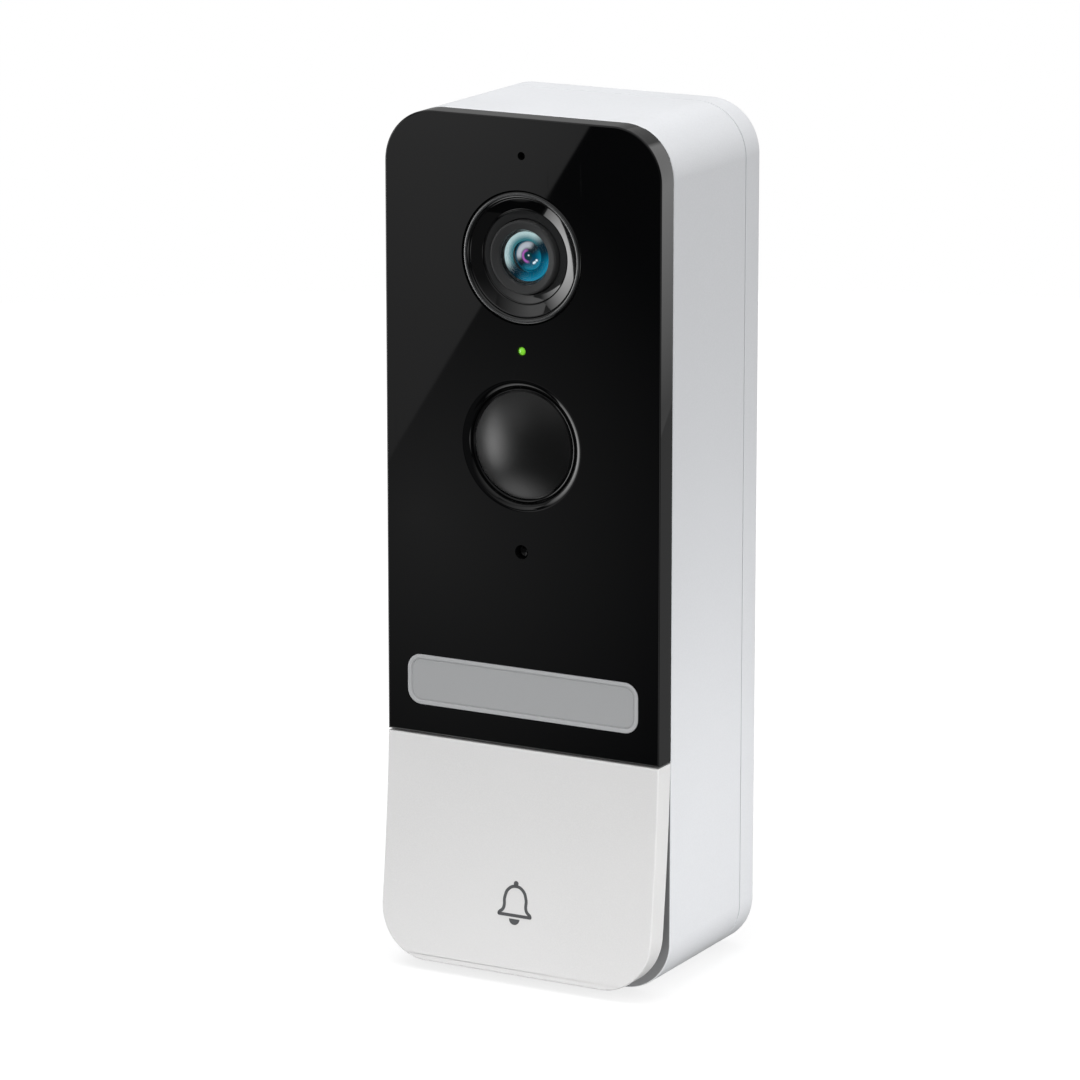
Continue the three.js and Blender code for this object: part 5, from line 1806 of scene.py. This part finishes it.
# Each card's corners, its strength, its fade (centre, inner and outer distance, floor, power)
# and, for some, its edge (a point, a direction, the haze's strength and the haze's fade).
CARDS = {
    "window_card": (
        [in_window(-90, -80), in_window(60, -80), in_window(-90, 110), in_window(60, 110)],
        0.62,
        (in_window(-20, 95), 0.02, 0.19, 0.06, 1.1),
        (in_window(14, 76.3), (-0.842, 0, 0.54), 0.27, (in_window(-20, 5), 0.0, 0.13, 0.0, 1.2)),
    ),
    "left_card": (
        [(-0.75, -1.1, -0.6), (-0.75, -0.28, -0.6), (-0.75, -1.1, 0.35), (-0.75, -0.28, 0.35)],
        6.0,
        ((-0.75, -0.45, -0.15), 0.0, 0.62, 0.0, 1.2),
    ),
    "high_card": (
        [(-1.4, -1.2, 0.2), (-0.1, -1.2, 0.2), (-1.4, -1.2, 1.1), (-0.1, -1.2, 1.1)],
        0.9,
        ((-1.1, -1.2, 0.5), 0.3, 1.1, 0.0, 1.0),
    ),
    "right_card": (
        [(0.8, -0.75, -0.5), (0.8, -0.2, -0.5), (0.8, -0.75, 0.2), (0.8, -0.2, 0.2)],
        1.5,
        ((0.8, -0.48, -0.2), 0.0, 0.36, 0.0, 1.3),
    ),
    "rear_card": (
        [(-0.6, 0.6, -0.6), (0.9, 0.6, -0.6), (-0.6, 0.6, 0.8), (0.9, 0.6, 0.8)],
        1.2,
        ((0.5, 0.6, 0.25), 0.34, 0.4, 0.12, 1.0),
        ((0.35, 0.6, -0.122), (0.65, 0, 0.76), 0.3, ((0, 0.6, 0), 0.0, 2.0, 1.0, 1.0)),
    ),
    "under_card": (
        [(-0.16, -0.2, -0.09), (0.03, -0.2, -0.09), (-0.16, 0.05, -0.09), (0.03, 0.05, -0.09)],
        1.7,
        ((-0.06, -0.07, -0.09), 0.02, 0.08, 0.0, 1.0),
    ),
}


def make_stage():
    bpy.context.scene.view_settings.view_transform = "Standard"
    make_camera_view()
    make_world()
    make_floor()
    for name, light in LIGHTS.items():
        area_light(name, *light)
    for name, parts in CARDS.items():
        card(name, *parts)


# ---- Operators ----


class StepOperator:
    bl_options = {"REGISTER", "UNDO"}

    def execute(self, context):
        type(self).make()
        return {"FINISHED"}


class DOORBELL_OT_front_panel(StepOperator, bpy.types.Operator):
    """Models the black front window with its holes and dished surround"""

    bl_idname = "doorbell.front_panel"
    bl_label = "Front Panel"
    make = staticmethod(make_front_panel)


class DOORBELL_OT_camera(StepOperator, bpy.types.Operator):
    """Models the stepped bezel, the barrel and the lenses"""

    bl_idname = "doorbell.camera"
    bl_label = "Camera"
    make = staticmethod(make_camera)


class DOORBELL_OT_motion_dome(StepOperator, bpy.types.Operator):
    """Models the motion sensor's dome with its bead and groove"""

    bl_idname = "doorbell.motion_dome"
    bl_label = "Motion Dome"
    make = staticmethod(make_dome)


class DOORBELL_OT_indicators(StepOperator, bpy.types.Operator):
    """Models the status light and the light sensor's eye"""

    bl_idname = "doorbell.indicators"
    bl_label = "Indicators"
    make = staticmethod(make_indicators)


class DOORBELL_OT_light_bar(StepOperator, bpy.types.Operator):
    """Models the frosted light bar with its raised rim"""

    bl_idname = "doorbell.light_bar"
    bl_label = "Light Bar"
    make = staticmethod(make_light_bar)


class DOORBELL_OT_call_button(StepOperator, bpy.types.Operator):
    """Models the leaning call button with its arms and stops"""

    bl_idname = "doorbell.call_button"
    bl_label = "Call Button"
    make = staticmethod(make_call_button)


class DOORBELL_OT_bell(StepOperator, bpy.types.Operator):
    """Models the bell printed on the call button"""

    bl_idname = "doorbell.bell"
    bl_label = "Bell Mark"
    make = staticmethod(make_bell)


class DOORBELL_OT_housing(StepOperator, bpy.types.Operator):
    """Models the white housing with the lip under the button"""

    bl_idname = "doorbell.housing"
    bl_label = "Housing"
    make = staticmethod(make_housing)


class DOORBELL_OT_rear_cover(StepOperator, bpy.types.Operator):
    """Models the rear cover with its recess and openings"""

    bl_idname = "doorbell.rear_cover"
    bl_label = "Rear Cover"
    make = staticmethod(make_rear_cover)


class DOORBELL_OT_usb_flap(StepOperator, bpy.types.Operator):
    """Models the rubber flap over the charging socket"""

    bl_idname = "doorbell.usb_flap"
    bl_label = "Socket Flap"
    make = staticmethod(make_usb_flap)


class DOORBELL_OT_reset_button(StepOperator, bpy.types.Operator):
    """Models the dished reset button"""

    bl_idname = "doorbell.reset_button"
    bl_label = "Reset Button"
    make = staticmethod(make_reset_button)


class DOORBELL_OT_terminals(StepOperator, bpy.types.Operator):
    """Models the terminal block and its two screws"""

    bl_idname = "doorbell.terminals"
    bl_label = "Terminals"
    make = staticmethod(make_terminals)


class DOORBELL_OT_case_screws(StepOperator, bpy.types.Operator):
    """Models the four screws that hold the rear cover"""

    bl_idname = "doorbell.case_screws"
    bl_label = "Case Screws"
    make = staticmethod(make_case_screws)


class DOORBELL_OT_security_screw(StepOperator, bpy.types.Operator):
    """Models the security screw in the base"""

    bl_idname = "doorbell.security_screw"
    bl_label = "Security Screw"
    make = staticmethod(make_security_screw)


class DOORBELL_OT_wall_bracket(StepOperator, bpy.types.Operator):
    """Models the wall bracket with its hooks and countersunk holes"""

    bl_idname = "doorbell.wall_bracket"
    bl_label = "Wall Bracket"
    make = staticmethod(make_wall_bracket)


class DOORBELL_OT_inner_finishes(StepOperator, bpy.types.Operator):
    """Gives the pieces that keep their CAD shape their finishes"""

    bl_idname = "doorbell.inner_finishes"
    bl_label = "Inner Finishes"
    make = staticmethod(finish_inner_nodes)


class DOORBELL_OT_stage(StepOperator, bpy.types.Operator):
    """Sets up the floor, the lights and the camera"""

    bl_idname = "doorbell.stage"
    bl_label = "Stage"
    make = staticmethod(make_stage)


STEPS = (
    DOORBELL_OT_front_panel,
    DOORBELL_OT_camera,
    DOORBELL_OT_motion_dome,
    DOORBELL_OT_indicators,
    DOORBELL_OT_light_bar,
    DOORBELL_OT_call_button,
    DOORBELL_OT_bell,
    DOORBELL_OT_housing,
    DOORBELL_OT_rear_cover,
    DOORBELL_OT_usb_flap,
    DOORBELL_OT_reset_button,
    DOORBELL_OT_terminals,
    DOORBELL_OT_case_screws,
    DOORBELL_OT_security_screw,
    DOORBELL_OT_wall_bracket,
    DOORBELL_OT_inner_finishes,
    DOORBELL_OT_stage,
)


class DOORBELL_PT_builder(bpy.types.Panel):
    bl_label = "Doorbell"
    bl_space_type = "VIEW_3D"
    bl_region_type = "UI"
    bl_category = "Doorbell"

    def draw(self, context):
        column = self.layout.column()
        for step in STEPS:
            column.operator(step.bl_idname)
        for group in (context.scene.doorbell_sizes, context.scene.doorbell_colours):
            for key in group.__annotations__:
                column.prop(group, key)


CLASSES = (DoorbellSizes, DoorbellColours, *STEPS, DOORBELL_PT_builder)


def register():
    for cls in CLASSES:
        bpy.utils.register_class(cls)
    bpy.types.Scene.doorbell_sizes = bpy.props.PointerProperty(type=DoorbellSizes)
    bpy.types.Scene.doorbell_colours = bpy.props.PointerProperty(type=DoorbellColours)


def unregister():
    del bpy.types.Scene.doorbell_colours
    del bpy.types.Scene.doorbell_sizes
    for cls in reversed(CLASSES):
        bpy.utils.unregister_class(cls)


def main():
    register()
    for step in STEPS:
        group, action = step.bl_idname.split(".")
        getattr(getattr(bpy.ops, group), action)()


if __name__ == "__main__":
    main()
